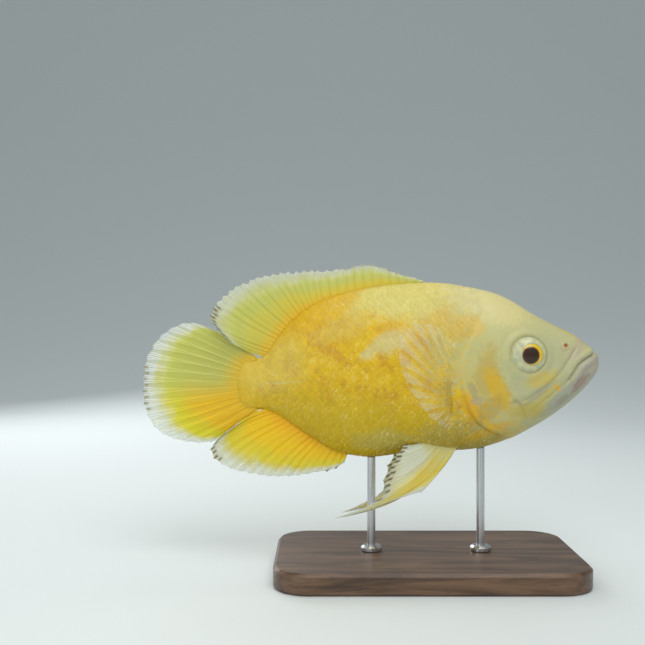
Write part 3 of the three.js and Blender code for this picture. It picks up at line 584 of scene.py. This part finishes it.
def scales(side, name):
    """All of one flank's scales as one mesh. side is 1 on the fish's left and -1 on its right."""
    u_row, angle_row, around, along = scale_lattice()
    rng = np.random.default_rng(11 if side > 0 else 12)
    across = np.linspace(-1, 1, SCALE_COLUMNS)
    points, faces, uvs, edges, lots = [], [], [], [], []

    def on_surface(s, t):
        u = np.interp(s, along, u_row)
        k = np.interp(u, u_row, np.arange(len(u_row)))
        low = int(min(k, len(u_row) - 2))
        row = around[low] * (1 - (k - low)) + around[low + 1] * (k - low)
        angle = np.interp(t, row, angle_row)
        if side < 0:
            angle = math.pi - angle
        return u, angle

    column = 0
    s = 0.0
    while s < along[-1] - SCALE["length"] * 0.4:
        u = np.interp(s, along, u_row)
        k = int(np.argmin(np.abs(u_row - u)))
        low, high = around[k, 0], around[k, -1]
        rows = int((high - low) / SCALE["pitch_across"]) + 2
        for j in range(-rows, rows):
            t = (j + 0.5 * (column % 2)) * SCALE["pitch_across"]
            if not low + EDGE_GAP < t < high - EDGE_GAP:
                continue
            near_edge = min(t - low, high - t)
            smallest = EDGE_SCALES["size"]
            size = smallest + (1 - smallest) * min(1.0, near_edge / EDGE_SCALES["reach"])
            size *= 1 + STRAY["size"] * rng.standard_normal()
            twist = STRAY["twist"] * rng.standard_normal()
            s0 = s + STRAY["along"] * rng.standard_normal()
            t0 = t + STRAY["across"] * rng.standard_normal()
            lot = rng.random()
            root_angle = on_surface(s0, t0)[1]
            root = body_points(np.array([u]), np.array([root_angle]))[0]
            edge, share = nearest(SCALES_FROM, root[None, 0], root[None, 2])
            if edge[0] > -0.2 or root[0] > SCALES_END_X:
                continue
            sunk = 1 - (1 - ramp(*NAPE["share"], share[0])) * (1 - ramp(0.0, NAPE["fade"], -edge[0]))
            sunk *= ramp(*STALK_FADE, root[0])
            us, angles, rises, marks = [], [], [], []
            for shape, height in zip(SCALE_SHARES, SCALE_HEIGHTS):
                for v in across:
                    rounded = math.sqrt(max(0.0, 1 - (0.95 * v) ** 2))
                    back = SCALE["length"] * size * (shape * (0.50 + 0.50 * rounded))
                    wide = 0.5 * SCALE["width"] * size * v * (0.82 + 0.18 * min(1.0, shape * 2))
                    section, angle = on_surface(min(s0 + back, along[-1]), t0 + wide + twist * back)
                    us.append(section)
                    angles.append(angle)
                    crown = 1 - 0.45 * v * v
                    high_here = SCALE["rise"] * sunk if height > 0 else SCALE["sink"]
                    rises.append(high_here * crown * height)
                    marks.append(shape)
            first = len(points)
            us, angles, rises = np.array(us), np.array(angles), np.array(rises)
            base = body_points(us, angles)
            ahead = body_points(us + SLOPE_STEP, angles) - body_points(us - SLOPE_STEP, angles)
            beside = body_points(us, angles + 0.01) - body_points(us, angles - 0.01)
            normal = np.cross(ahead, beside)
            normal /= np.maximum(np.linalg.norm(normal, axis=-1, keepdims=True), 1e-9)
            points.extend(base + normal * (rises - SKIN_DEPTH)[:, None])
            edges.extend(marks)
            lots.extend([0.5 + (lot - 0.5) * sunk] * len(marks))
            n = len(across)
            for a in range(len(SCALE_SHARES) - 1):
                for b in range(n - 1):
                    corner = first + a * n + b
                    quad = (corner, corner + 1, corner + n + 1, corner + n)
                    faces.append(quad[::-1] if side > 0 else quad)
            home = (u / len(SECTIONS), 0.25 + 0.5 * (root_angle / math.pi) * 0.5)
            for shape in SCALE_SHARES:
                for b in range(n):
                    uvs.append((home[0] + BAKE_PATCH * shape, home[1] + BAKE_PATCH * (b / (n - 1) - 0.5)))
        s += SCALE["pitch_along"]
        column += 1
    made = mesh_object(name, points, faces)
    layer = made.data.uv_layers.new(name="OFBake")
    loops = np.empty(len(made.data.loops), int)
    made.data.loops.foreach_get("vertex_index", loops)
    layer.data.foreach_set("uv", np.asarray(uvs)[loops].ravel())
    for label, values in (("towards_edge", edges), ("chance", lots)):
        mark = made.data.attributes.new(label, "FLOAT", "POINT")
        mark.data.foreach_set("value", np.asarray(values, float))
    return made


scale_material, tree, shader = fresh_material("golden_scales", 0.45, coat=0.08, specular=0.28)
place, colour = marked_skin(tree)
towards_edge = attribute(tree, "towards_edge")
glint = noise(tree, place, 0.16, detail=3.0, roughness=0.6)
spotty = spread(tree, glint, 0.42, 0.66)
chance = attribute(tree, "chance")
# Pale dashes along the scales' rear rims, broken up at random: partly the scales' own pale edges and partly
# a painted glint of light on them.
rim = spread(tree, towards_edge, 0.72, 0.97)
dash = noise(tree, place, 0.9, detail=3.0, roughness=0.7)
broken = spread(tree, dash, 0.40, 0.62)
pale = calculate(tree, "MULTIPLY", calculate(tree, "MULTIPLY", rim, broken), chance)
pale = calculate(tree, "MULTIPLY", pale, calculate(tree, "ADD", spotty, 0.35))
colour = blend(tree, calculate(tree, "MULTIPLY", pale, 0.75), colour, (0.80, 0.69, 0.30))
tone = spread(tree, chance, 0.0, 1.0, 0.955, 1.03)
toned = add_node(tree, "ShaderNodeVectorMath", operation="SCALE")
tree.links.new(colour, toned.inputs[0])
tree.links.new(tone, toned.inputs["Scale"])
tree.links.new(toned.outputs["Vector"], shader.inputs["Base Color"])
grain = noise(tree, place, 3.0, detail=3.0)
bumped(tree, shader, grain, 0.2, 0.0001)
soft_flesh(shader)
for side, name in ((1, "scales_left"), (-1, "scales_right")):
    coat = scales(side, name)
    coat.data.materials.append(scale_material)
    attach(coat, "root")

# Each eye is a low dome set in the skin: a broad pearly ring, a narrow golden iris and a dark brown
# pupil, all wet. It is turned on its own axis and stands out past the cheek.
IRIS = {"place": (50.0, 45.8), "radius": 4.4}
PUPIL = {"place": (49.2, 45.35), "radius": 3.5}


def turned(name, profile, place, side):
    """A round piece turned about the axis through the eye. Profile points are (radius, out)."""
    made = mesh_object(name, [(place[0] + r, place[1] + side * out, place[2]) for r, out in profile], [])
    work = bmesh.new()
    work.from_mesh(made.data)
    for a, b in zip(work.verts[:-1], work.verts[1:]):
        work.edges.new((a, b))
    work.to_mesh(made.data)
    work.free()
    bpy.ops.object.select_all(action="DESELECT")
    bpy.context.view_layer.objects.active = made
    made.select_set(True)
    centre = tuple((np.asarray(place) + (-STAND_X, 0, RIDE_HEIGHT)) * 0.001)
    bpy.ops.object.mode_set(mode="EDIT")
    bpy.ops.mesh.select_all(action="SELECT")
    bpy.ops.mesh.spin(steps=72, angle=math.radians(360), center=centre, axis=(0, 1, 0))
    bpy.ops.mesh.select_all(action="SELECT")
    bpy.ops.mesh.remove_doubles(threshold=0.000005)
    bpy.ops.mesh.normals_make_consistent(inside=False)
    bpy.ops.object.mode_set(mode="OBJECT")
    bpy.ops.object.shade_smooth()
    made.select_set(False)
    return made


def side_view_distance(tree, place, centre):
    """Distance in side view from a centre, in the fish's millimetres."""
    offset = add_node(tree, "ShaderNodeVectorMath", operation="SUBTRACT")
    offset.inputs[1].default_value = (centre[0], 0, centre[1])
    tree.links.new(place, offset.inputs[0])
    length = add_node(tree, "ShaderNodeVectorMath", operation="LENGTH")
    tree.links.new(side_view(tree, offset.outputs["Vector"]), length.inputs[0])
    return length.outputs["Value"]


eye_material, tree, shader = fresh_material("wet_eye", 0.38, coat=0.55, specular=0.2)
shader.inputs["Coat Roughness"].default_value = 0.03
place = fish_millimetres(tree)
from_ring = side_view_distance(tree, place, EYE["place"])
from_iris = side_view_distance(tree, place, IRIS["place"])
from_pupil = side_view_distance(tree, place, PUPIL["place"])
cloud = noise(tree, place, 0.5, detail=4.0)
ring = blend(tree, spread(tree, cloud, 0.38, 0.62), (0.46, 0.48, 0.30), (0.60, 0.58, 0.32))
threads = noise(tree, place, 2.2, detail=3.0, distortion=0.4)
ring = blend(tree, spread(tree, threads, 0.55, 0.75, 0.0, 0.3), ring, (0.34, 0.36, 0.30))
# Darker towards the ring's outer edge: painted shade of the groove where the eye sits in its socket.
ring = blend(tree, spread(tree, from_ring, 6.4, 7.6, 0.0, 0.4), ring, (0.40, 0.38, 0.22))
limbus = spread(tree, from_iris, IRIS["radius"] + 0.55, IRIS["radius"] + 0.05, 0.0, 0.7)
ring = blend(tree, limbus, ring, (0.30, 0.27, 0.14))
streak = noise(tree, place, 1.8, detail=4.0, roughness=0.7)
iris = blend(tree, spread(tree, streak, 0.3, 0.7), (0.62, 0.36, 0.01), (0.80, 0.60, 0.05))
colour = blend(tree, spread(tree, from_iris, IRIS["radius"] + 0.1, IRIS["radius"] - 0.1), ring, iris)
inner = spread(tree, from_pupil, PUPIL["radius"] + 0.4, PUPIL["radius"])
colour = blend(tree, inner, colour, (0.22, 0.10, 0.015))
pupil = blend(tree, spread(tree, from_pupil, 2.6, 3.5), (0.034, 0.014, 0.006), (0.075, 0.028, 0.010))
edge = spread(tree, from_pupil, PUPIL["radius"] + 0.1, PUPIL["radius"] - 0.1)
colour = blend(tree, edge, colour, pupil)
tree.links.new(colour, shader.inputs["Base Color"])
EYE_PROFILE = [
    (0, -1.6), (7.75, -1.6), (7.75, -0.2), (7.6, 0.30), (7.25, 0.75), (6.8, 1.12), (6.2, 1.50),
    (5.6, 1.80), (5.05, 2.0), (4.75, 2.06), (4.45, 2.18), (4.1, 2.36), (3.5, 2.62), (2.7, 2.88),
    (1.8, 3.06), (0.9, 3.15), (0, 3.18),
]
EYE_SEAT = 14.8  # the cheek's half width there, less the depth that the eye is set in
for side, name in ((1, "eyeball_left"), (-1, "eyeball_right")):
    eyeball = turned(name, EYE_PROFILE, (EYE["place"][0], side * EYE_SEAT, EYE["place"][1]), side)
    eyeball.data.materials.append(eye_material)
    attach(eyeball, "root")
    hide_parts(name.replace("eyeball", "eye"))

# Fins: a thin double skin stretched over stiff rays. The front rays of the back fin are spines,
# and the others fork towards the fin's clear, frayed rim.


def along_line(points, share):
    """Points at shares of the length of a smooth line."""
    line = smooth_line(points, 240)
    lengths = np.concatenate([[0], np.cumsum(np.linalg.norm(np.diff(line, axis=0), axis=-1))])
    at = np.asarray(share) * lengths[-1]
    return np.stack([np.interp(at, lengths, line[:, k]) for k in range(line.shape[1])], axis=-1)


def spread_rays(roots, tips, count, bow, lean):
    """Rays from a root line to a tip line, each as its root, the point that bends it and its tip."""
    share = np.linspace(0, 1, count)
    root, tip = along_line(roots, share), along_line(tips, share)
    across = np.stack([root[:, 1] - tip[:, 1], tip[:, 0] - root[:, 0]], axis=-1)
    bend = (root + tip) / 2 + across * bow(share)[:, None]
    rays = []
    for point, part in ((root, 0.0), (bend, 0.3), (tip, 1.0)):
        y = sway(root[:, 0]) + lean(root[:, 0], point[:, 0], share) * part
        rays.append(np.stack([point[:, 0], y, point[:, 1]], axis=-1))
    return np.stack(rays, axis=1)


def fin_sheet(name, rays, ray_half, web_half, fork, notch, marks, seed, columns=12, rows=46, ripple=0.3):
    """A fin as one closed sheet with a ridge along every ray and its branches."""
    rng = np.random.default_rng(seed)
    count = len(rays)
    q = np.linspace(0, count - 1, (count - 1) * columns + 1)
    root, bend, tip = (
        np.stack([smooth_row(rays[:, k, axis], q) for axis in range(3)], axis=-1) for k in range(3)
    )
    between_rays = np.abs(q - np.round(q))
    gap = np.minimum(q.astype(int), count - 2)
    length = np.linalg.norm(tip - root, axis=-1)
    draw = notch * (0.55 + 0.9 * rng.random(count - 1))[gap] * np.sin(math.pi * (q - gap)) ** 0.8
    fray = 0.35 * rng.random(len(q)) * np.minimum(1, between_rays * 6)
    reach = 1 - np.minimum(0.4, (draw + fray) / length)
    t = np.linspace(0, 1, rows + 1) ** 0.92
    share = t[None, :] * reach[:, None]
    s = share[..., None]
    points = (1 - s) ** 2 * root[:, None] + 2 * s * (1 - s) * bend[:, None] + s**2 * tip[:, None]
    first_split = 0.21 * np.clip((share - fork[0]) / (1 - fork[0]), 0, 1)
    second_split = 0.105 * np.clip((share - fork[1]) / (1 - fork[1]), 0, 1)
    off_branch = np.abs(np.abs(between_rays[:, None] - first_split) - second_split)
    ridge = bell(off_branch, 0.15 - 0.075 * share)
    low, high = np.asarray(web_half), np.asarray(ray_half)
    web = low[0] + (low[1] - low[0]) * share
    ray = high[0] + (high[1] - high[0]) * share
    half = web + (ray - web) * ridge
    half = half * (1 - 0.7 * ramp(0.93, 1.0, t[None, :] * np.ones_like(half)))
    d_across = np.gradient(points, axis=0)
    d_along = np.gradient(points, axis=1)
    normal = np.cross(d_across, d_along)
    normal /= np.maximum(np.linalg.norm(normal, axis=-1, keepdims=True), 1e-9)
    sag = ripple * rng.choice([-1, 1], count - 1)[gap] * (0.5 + 0.5 * rng.random(count - 1))[gap]
    belly = sag[:, None] * np.sin(math.pi * (q - gap))[:, None]
    belly = belly * np.sin(math.pi * np.clip(share, 0, 1) ** 0.8)
    points = points + normal * belly[..., None]
    front = points + normal * half[..., None]
    back = points - normal * half[..., None]
    n, m = len(q), rows + 1
    faces = []

    def at(j, k, other=0):
        return other * n * m + j * m + k

    for j in range(n - 1):
        for k in range(rows):
            faces.append((at(j, k), at(j + 1, k), at(j + 1, k + 1), at(j, k + 1)))
            faces.append((at(j, k, 1), at(j, k + 1, 1), at(j + 1, k + 1, 1), at(j + 1, k, 1)))
        faces.append((at(j, 0), at(j, 0, 1), at(j + 1, 0, 1), at(j + 1, 0)))
        faces.append((at(j, rows), at(j + 1, rows), at(j + 1, rows, 1), at(j, rows, 1)))
    for k in range(rows):
        faces.append((at(0, k), at(0, k + 1), at(0, k + 1, 1), at(0, k, 1)))
        faces.append((at(n - 1, k), at(n - 1, k, 1), at(n - 1, k + 1, 1), at(n - 1, k + 1)))
    made = mesh_object(name, np.concatenate([front.reshape(-1, 3), back.reshape(-1, 3)]), faces)
    face_outwards(made)
    black = np.zeros((n, m))
    for mark in marks:
        first_ray, last_ray = mark["rays"]
        inside = ramp(first_ray - 0.3, first_ray, q) * (1 - ramp(last_ray, last_ray + 0.3, q))
        step = mark.get("step", 1.0)
        near_ray = bell(np.abs(q / step - np.round(q / step)) * step, mark.get("width", 0.13))
        depth = mark.get("depth", 1.6) / length
        tip_zone = ramp(0, 1, (t[None, :] - 1 + depth[:, None]) / (depth[:, None] * 0.4))
        black = np.maximum(black, (inside * near_ray)[:, None] * tip_zone * mark.get("strength", 1.0))
    for label, values in (
        ("share", share), ("rays", np.repeat(q[:, None], m, axis=1)), ("black", black),
        ("spread", np.repeat(q[:, None] / (count - 1), m, axis=1)),
    ):
        stored = made.data.attributes.new(label, "FLOAT", "POINT")
        stored.data.foreach_set("value", np.tile(values.ravel(), 2).astype(float))
    return made


def spread_line(tree, value, low, high, top):
    """A straight rise from 0 at low to top at high."""
    node = add_node(tree, "ShaderNodeMapRange", interpolation_type="LINEAR")
    for name, number in zip(("From Min", "From Max", "To Min", "To Max"), (low, high, 0.0, top)):
        node.inputs[name].default_value = number
    tree.links.new(value, node.inputs["Value"])
    return node.outputs["Result"]


def fin_material(
    name, shades, fork, clear, sheer=0.06, line_tint=0.22, rear=None, ray_sheer=0.45,
    line_shade=(0.72, 0.62, 0.42),
):
    """Fin skin coloured from root to rim, with its forked rays as fine lines."""
    material, tree, shader = fresh_material(name, 0.45, coat=0.06, specular=0.25)
    place = fish_millimetres(tree)
    share = attribute(tree, "share")
    rays = attribute(tree, "rays")
    black = attribute(tree, "black")
    across = attribute(tree, "spread")
    cloud = noise(tree, place, 0.14, detail=4.0, roughness=0.6)
    drift = calculate(tree, "MULTIPLY", calculate(tree, "SUBTRACT", cloud, 0.5), 0.3)
    drifted = calculate(tree, "ADD", share, drift)
    colour = shades[0][1]
    for (low, _), (high, shade) in zip(shades[:-1], shades[1:]):
        colour = blend(tree, spread(tree, drifted, low, high), colour, shade)
    if rear:
        from_place, to_place, rear_shade, strength = rear
        tint = spread(tree, across, from_place, to_place, 0.0, strength)
        tint = calculate(tree, "MULTIPLY", tint, spread(tree, share, 0.0, 0.28))
        before_rim = spread(tree, drifted, shades[-2][0], shades[-1][0], 1.0, 0.0)
        tint = calculate(tree, "MULTIPLY", tint, before_rim)
        colour = blend(tree, tint, colour, rear_shade)
    off_ray = calculate(tree, "PINGPONG", rays, 0.5)
    first = spread_line(tree, share, fork[0], 1.0, 0.21)
    second = spread_line(tree, share, fork[1], 1.0, 0.105)
    off = calculate(tree, "ABSOLUTE", calculate(tree, "SUBTRACT", off_ray, first))
    off = calculate(tree, "ABSOLUTE", calculate(tree, "SUBTRACT", off, second))
    line = spread(tree, off, 0.085, 0.02)
    fine = noise(tree, place, 1.2, detail=4.0, roughness=0.7)
    colour = blend(tree, spread(tree, fine, 0.45, 0.75, 0.0, 0.25), colour, (0.66, 0.56, 0.12))
    lined = blend(tree, 1.0, colour, line_shade, mode="MULTIPLY")
    colour = blend(tree, calculate(tree, "MULTIPLY", line, line_tint), colour, lined)
    colour = blend(tree, black, colour, (0.018, 0.020, 0.022))
    tree.links.new(colour, shader.inputs["Base Color"])
    rim_clear = spread(tree, share, clear[0], clear[1], sheer, clear[2])
    webbed = calculate(tree, "MULTIPLY", rim_clear, spread(tree, line, 0, 1, 1.0, ray_sheer))
    webbed = calculate(tree, "MULTIPLY", webbed, spread(tree, black, 0, 1, 1.0, 0.0))
    tree.links.new(calculate(tree, "SUBTRACT", 1.0, webbed), shader.inputs["Alpha"])
    shader.inputs["Subsurface Weight"].default_value = 0.55
    shader.inputs["Subsurface Radius"].default_value = (1.0, 0.8, 0.45)
    shader.inputs["Subsurface Scale"].default_value = 0.003
    joint = calculate(tree, "PINGPONG", calculate(tree, "MULTIPLY", share, 60.0), 0.5)
    height = calculate(tree, "ADD", line, calculate(tree, "MULTIPLY", spread(tree, joint, 0.06, 0.0), -0.5))
    bumped(tree, shader, height, 0.35, 0.00012)
    return material


def hand_over(made, material, *nodes):
    made.data.materials.append(material)
    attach(made, "root")
    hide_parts(*nodes)


RIM = (0.66, 0.70, 0.56)
spines = spread_rays(
    [(6.5, 74.6), (-4.4, 73.6), (-17.6, 71.9), (-30.2, 68.8), (-37.8, 66.2)],
    [
        (5.4, 78.1), (-4.4, 81.4), (-11.0, 83.4), (-16.7, 85.1), (-23.3, 84.6), (-30.4, 83.2), (-36.4, 82.5),
        (-40.6, 82.4),
    ],
    13, lambda share: 0.03 + 0 * share, lambda root, x, share: -0.6 + 0 * share,
)
soft_rays = spread_rays(
    [(-40.0, 65.3), (-47.0, 61.4), (-53.0, 55.6), (-57.2, 49.6), (-62.0, 43.4)],
    [
        (-43.4, 82.5), (-52.8, 81.8), (-61.6, 80.6), (-70.4, 78.1), (-78.3, 74.2), (-84.0, 69.4),
        (-87.5, 64.4), (-87.6, 60.6), (-85.0, 56.4), (-80.0, 51.6),
    ],
    20, lambda share: 0.03 + 0.07 * share, lambda root, x, share: -0.6 - 2.9 * share,
)
dorsal = fin_sheet(
    "dorsal_webs", np.concatenate([spines, soft_rays]), (0.72, 0.30), (0.34, 0.20), (0.45, 0.72), 0.9,
    [
        {"rays": (2, 9), "depth": 1.1, "width": 0.2, "strength": 0.7},
        {"rays": (26.5, 31.5), "depth": 3.2, "width": 0.17, "step": 0.5},
    ], seed=3,
    columns=10,
)
dorsal_material = fin_material(
    "back_fin_skin",
    [(0.12, (0.76, 0.47, 0.02)), (0.36, (0.63, 0.52, 0.07)), (0.62, (0.50, 0.53, 0.16)), (0.94, RIM)],
    (0.45, 0.72), rear=(0.35, 0.85, (0.46, 0.49, 0.11), 0.5), clear=(0.70, 0.98, 0.62),
)
hand_over(dorsal, dorsal_material, "dorsal_fin")

# The anal fin is one deep yellow sheet of rays and skin under the tail stalk, with a clear rim.
# Small black dashes mark its rear corner and the first rays of its front edge.
anal = fin_sheet(
    "anal_webs",
    spread_rays(
        [(-26.6, 3.2), (-32.6, 5.8), (-43.2, 11.2), (-51.2, 16.8), (-60.6, 22.4)],
        [
            (-29.0, -2.8), (-34.6, -6.0), (-41.0, -6.6), (-48.4, -7.9), (-56.0, -8.4), (-64.4, -7.9),
            (-72.6, -6.6), (-80.1, -4.2), (-85.4, -1.0), (-87.6, 2.4), (-86.4, 5.8), (-83.0, 9.2),
            (-78.6, 12.4),
        ],
        19, lambda share: -0.04 - 0.08 * share, lambda root, x, share: -0.8 - 3.4 * share,
    ),
    (0.66, 0.30), (0.36, 0.20), (0.4, 0.7), 0.5,
    [
        {"rays": (13.5, 17), "depth": 2.8, "width": 0.15, "step": 0.5},
        {"rays": (1, 2.2), "depth": 1.2},
    ], seed=5,
)
anal_material = fin_material(
    "anal_fin_skin",
    [(0.0, (0.84, 0.42, 0.006)), (0.4, (0.80, 0.50, 0.008)), (0.70, (0.66, 0.54, 0.03)), (0.94, RIM)],
    (0.4, 0.7), clear=(0.70, 0.98, 0.62),
)
hand_over(anal, anal_material, "anal_fin")

# The tail fin fans out from the end of the stalk. Its rays fork twice, its lower half is golden and
# its upper half greener, and its broad rim is clear and frayed.
tail = fin_sheet(
    "tail_webs",
    spread_rays(
        [
            (-66.4, 42.8), (-70.6, 40.6), (-72.4, 36.6), (-72.9, 31.7), (-72.4, 26.8), (-70.6, 22.8),
            (-66.4, 20.8),
        ],
        [
            (-90.8, 57.6), (-98.5, 59.4), (-105.8, 57.0), (-112.2, 52.3), (-116.7, 45.5), (-118.8, 38.3),
            (-119.2, 31.2), (-118.8, 24.4), (-117.1, 18.6), (-113.9, 13.1), (-108.9, 9.1), (-102.1, 6.8),
            (-95.3, 5.8), (-88.5, 5.9),
        ],
        18, lambda share: -0.08 + 0.16 * share,
        lambda root, x, share: sway(x) - sway(root) + 1.2 * np.sin(2 * math.pi * share),
    ),
    (1.15, 0.32), (1.0, 0.20), (0.3, 0.62), 0.6,
    [{"rays": (7, 10.5), "depth": 2.4, "width": 0.12, "step": 0.5, "strength": 0.85}],
    seed=7, columns=14, rows=54,
)
tail_material = fin_material(
    "tail_fin_skin",
    [(0.0, (0.74, 0.47, 0.015)), (0.42, (0.74, 0.49, 0.008)), (0.70, (0.62, 0.57, 0.02)), (0.93, RIM)],
    (0.3, 0.62), clear=(0.72, 0.98, 0.62), rear=(0.66, 0.42, (0.45, 0.50, 0.13), 0.85), line_tint=0.7,
    line_shade=(1.22, 1.2, 1.6),
)
hand_over(tail, tail_material, "tail_fin")

# The pectoral fin, one on each flank behind the gill cover: a raised fan of fine pale rays with
# almost clear skin between them. Its root is a fleshy lobe set in the flank.
PECTORAL = {
    "place": (16.6, 25.6), "height": 7.6, "length": 1.6, "depth": 1.4, "count": 13,
    "up": (76, -34), "out": (30, 84),
}
PECTORAL_LENGTHS = [29, 36, 39.5, 38, 32, 25, 18, 12]


def flank_width(x, z):
    """The body's half width at a side-view place."""
    u = np.linspace(1, len(SECTIONS) - 2, 500)
    grid_u, grid_angle = np.meshgrid(u, np.linspace(-1.5, 1.5, 181), indexing="ij")
    points = body_points(grid_u, grid_angle).reshape(-1, 3)
    close = np.argmin(np.hypot(points[:, 0] - x, points[:, 2] - z))
    return points[close, 1]


share = np.linspace(0, 1, PECTORAL["count"])
rise = np.radians(PECTORAL["up"][0] + (PECTORAL["up"][1] - PECTORAL["up"][0]) * share)
turn = np.radians(PECTORAL["out"][0] + (PECTORAL["out"][1] - PECTORAL["out"][0]) * share**1.6)
reach = smooth_row(PECTORAL_LENGTHS, share * (len(PECTORAL_LENGTHS) - 1))[:, None]
ray_way = np.stack([-np.cos(turn) * np.cos(rise), np.sin(turn) * np.cos(rise), np.sin(rise)], axis=-1)
cup = np.stack([np.sin(turn), np.cos(turn), 0 * turn], axis=-1)
root = np.stack([
    PECTORAL["place"][0] + PECTORAL["length"] * (0.5 - share),
    np.full(len(share), flank_width(*PECTORAL["place"]) - PECTORAL["depth"]),
    PECTORAL["place"][1] + PECTORAL["height"] * (0.5 - share),
], axis=-1)
bend = root + ray_way * reach * 0.5 + cup * 1.8
tip = root + ray_way * reach - cup * 1.5
pectoral_rays = np.stack([root, bend, tip], axis=1)
pectoral_material = fin_material(
    "clear_pectoral_skin",
    [
        (0.0, (0.74, 0.43, 0.02)), (0.20, (0.68, 0.56, 0.16)), (0.50, (0.72, 0.69, 0.42)),
        (0.95, (0.76, 0.78, 0.62)),
    ],
    (0.3, 0.62), clear=(0.02, 0.30, 0.965), sheer=0.4, line_tint=0.0, ray_sheer=0.79,
)
for side, name in ((1, "pectoral_web_left"), (-1, "pectoral_web_right")):
    web = fin_sheet(
        name, pectoral_rays * (1, side, 1), (0.55, 0.22), (0.28, 0.12), (0.3, 0.62), 0.6, [], seed=9 + side,
        columns=12, rows=44, ripple=0.2,
    )
    hand_over(web, pectoral_material, name.replace("web", "fin"))

# The pelvic fins hang under the chest: a stout spine in front, then rays that shorten, the first
# of them drawn out into a thread. Their trailing edge has a row of small dark dashes.
PELVIC_RAYS = np.array([
    [(19.6, 6.2, 5.0), (12.6, 10.0, -4.4), (3.4, 15.0, -12.6)],
    [(16.2, 6.4, 5.4), (2.6, 12.6, -18.6), (-33.2, 18.0, -22.9)],
    [(13.2, 6.8, 6.0), (2.0, 11.6, -9.8), (-15.6, 15.6, -16.2)],
    [(11.0, 7.2, 6.4), (1.6, 11.0, -5.4), (-12.6, 14.2, -9.4)],
    [(9.0, 7.6, 6.8), (0.6, 10.6, -1.4), (-10.2, 12.8, -2.8)],
    [(7.0, 8.0, 7.2), (0.0, 10.4, 2.6), (-7.2, 11.6, 2.9)],
    [(5.0, 8.4, 7.6), (0.2, 10.2, 6.2), (-4.6, 10.9, 6.8)],
])
LEFT_FORWARD = 6.0  # degrees that the left fin is swung forward
pelvic_material = fin_material(
    "pelvic_fin_skin",
    [(0.0, (0.66, 0.60, 0.26)), (0.35, (0.72, 0.56, 0.10)), (0.75, (0.72, 0.62, 0.22)), (0.95, RIM)],
    (0.35, 0.7), rear=(0.28, 0.55, (0.70, 0.73, 0.58), 0.92), clear=(0.7, 0.99, 0.3),
)
hinge = PELVIC_RAYS[0, 0] * (1, 0, 1)
swing = math.radians(LEFT_FORWARD)
arm = PELVIC_RAYS - hinge
swung = hinge + np.stack([
    arm[..., 0] * math.cos(swing) - arm[..., 2] * math.sin(swing), arm[..., 1],
    arm[..., 0] * math.sin(swing) + arm[..., 2] * math.cos(swing),
], axis=-1)
swung[:, 0] = PELVIC_RAYS[:, 0]  # the roots stay in the flesh, and only the fin swings
for name, rays, side in (("pelvic_web_left", swung, 1), ("pelvic_web_right", PELVIC_RAYS, -1)):
    web = fin_sheet(
        name, rays * (1, side, 1), (0.7, 0.25), (0.38, 0.18), (0.35, 0.7), 1.2,
        [{"rays": (1.75, 6), "depth": 3.0, "width": 0.10, "step": 0.4}], seed=15 + side, columns=22, rows=60,
    )
    hand_over(web, pelvic_material, name.replace("web", "fin"))

# The display stand: a low walnut block with softened edges and two steel rods that screw into
# collars on it. The rods run up into the fish's belly.
walnut, tree, shader = fresh_material("oiled_walnut", 0.38, coat=0.15)
coordinates = add_node(tree, "ShaderNodeTexCoord")
stretched = add_node(tree, "ShaderNodeMapping", vector_type="POINT")
stretched.inputs["Scale"].default_value = (18, 150, 150)
stretched.inputs["Rotation"].default_value = (0.02, 0.03, 0.06)
tree.links.new(coordinates.outputs["Object"], stretched.inputs["Vector"])
grain = noise(tree, stretched.outputs["Vector"], 1.0, detail=7.0, roughness=0.62, distortion=0.9)
pore = noise(tree, stretched.outputs["Vector"], 6.0, detail=4.0, roughness=0.7)
colour = blend(
    tree, spread(tree, grain, 0.32, 0.68), (0.050, 0.024, 0.012), (0.165, 0.088, 0.045)
)
colour = blend(tree, spread(tree, pore, 0.58, 0.72, 0.0, 0.5), colour, (0.030, 0.014, 0.008))
tree.links.new(colour, shader.inputs["Base Color"])
bumped(tree, shader, pore, 0.25, 0.0002)
steel, tree, shader = fresh_material("brushed_steel", 0.28)
shader.inputs["Metallic"].default_value = 1.0
coordinates = add_node(tree, "ShaderNodeTexCoord")
brushed = add_node(tree, "ShaderNodeMapping", vector_type="POINT")
brushed.inputs["Scale"].default_value = (900, 900, 40)
tree.links.new(coordinates.outputs["Object"], brushed.inputs["Vector"])
scratches = noise(tree, brushed.outputs["Vector"], 1.0, detail=3.0)
shade = blend(tree, spread(tree, scratches, 0.3, 0.7), (0.46, 0.47, 0.48), (0.62, 0.62, 0.62))
tree.links.new(shade, shader.inputs["Base Color"])
tree.links.new(spread(tree, scratches, 0.3, 0.7, 0.2, 0.38), shader.inputs["Roughness"])
for name, material in (("stand_base", walnut), ("stand_rod_front", steel), ("stand_rod_rear", steel)):
    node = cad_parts[name]
    for holder in node.material_slots:
        holder.material = material
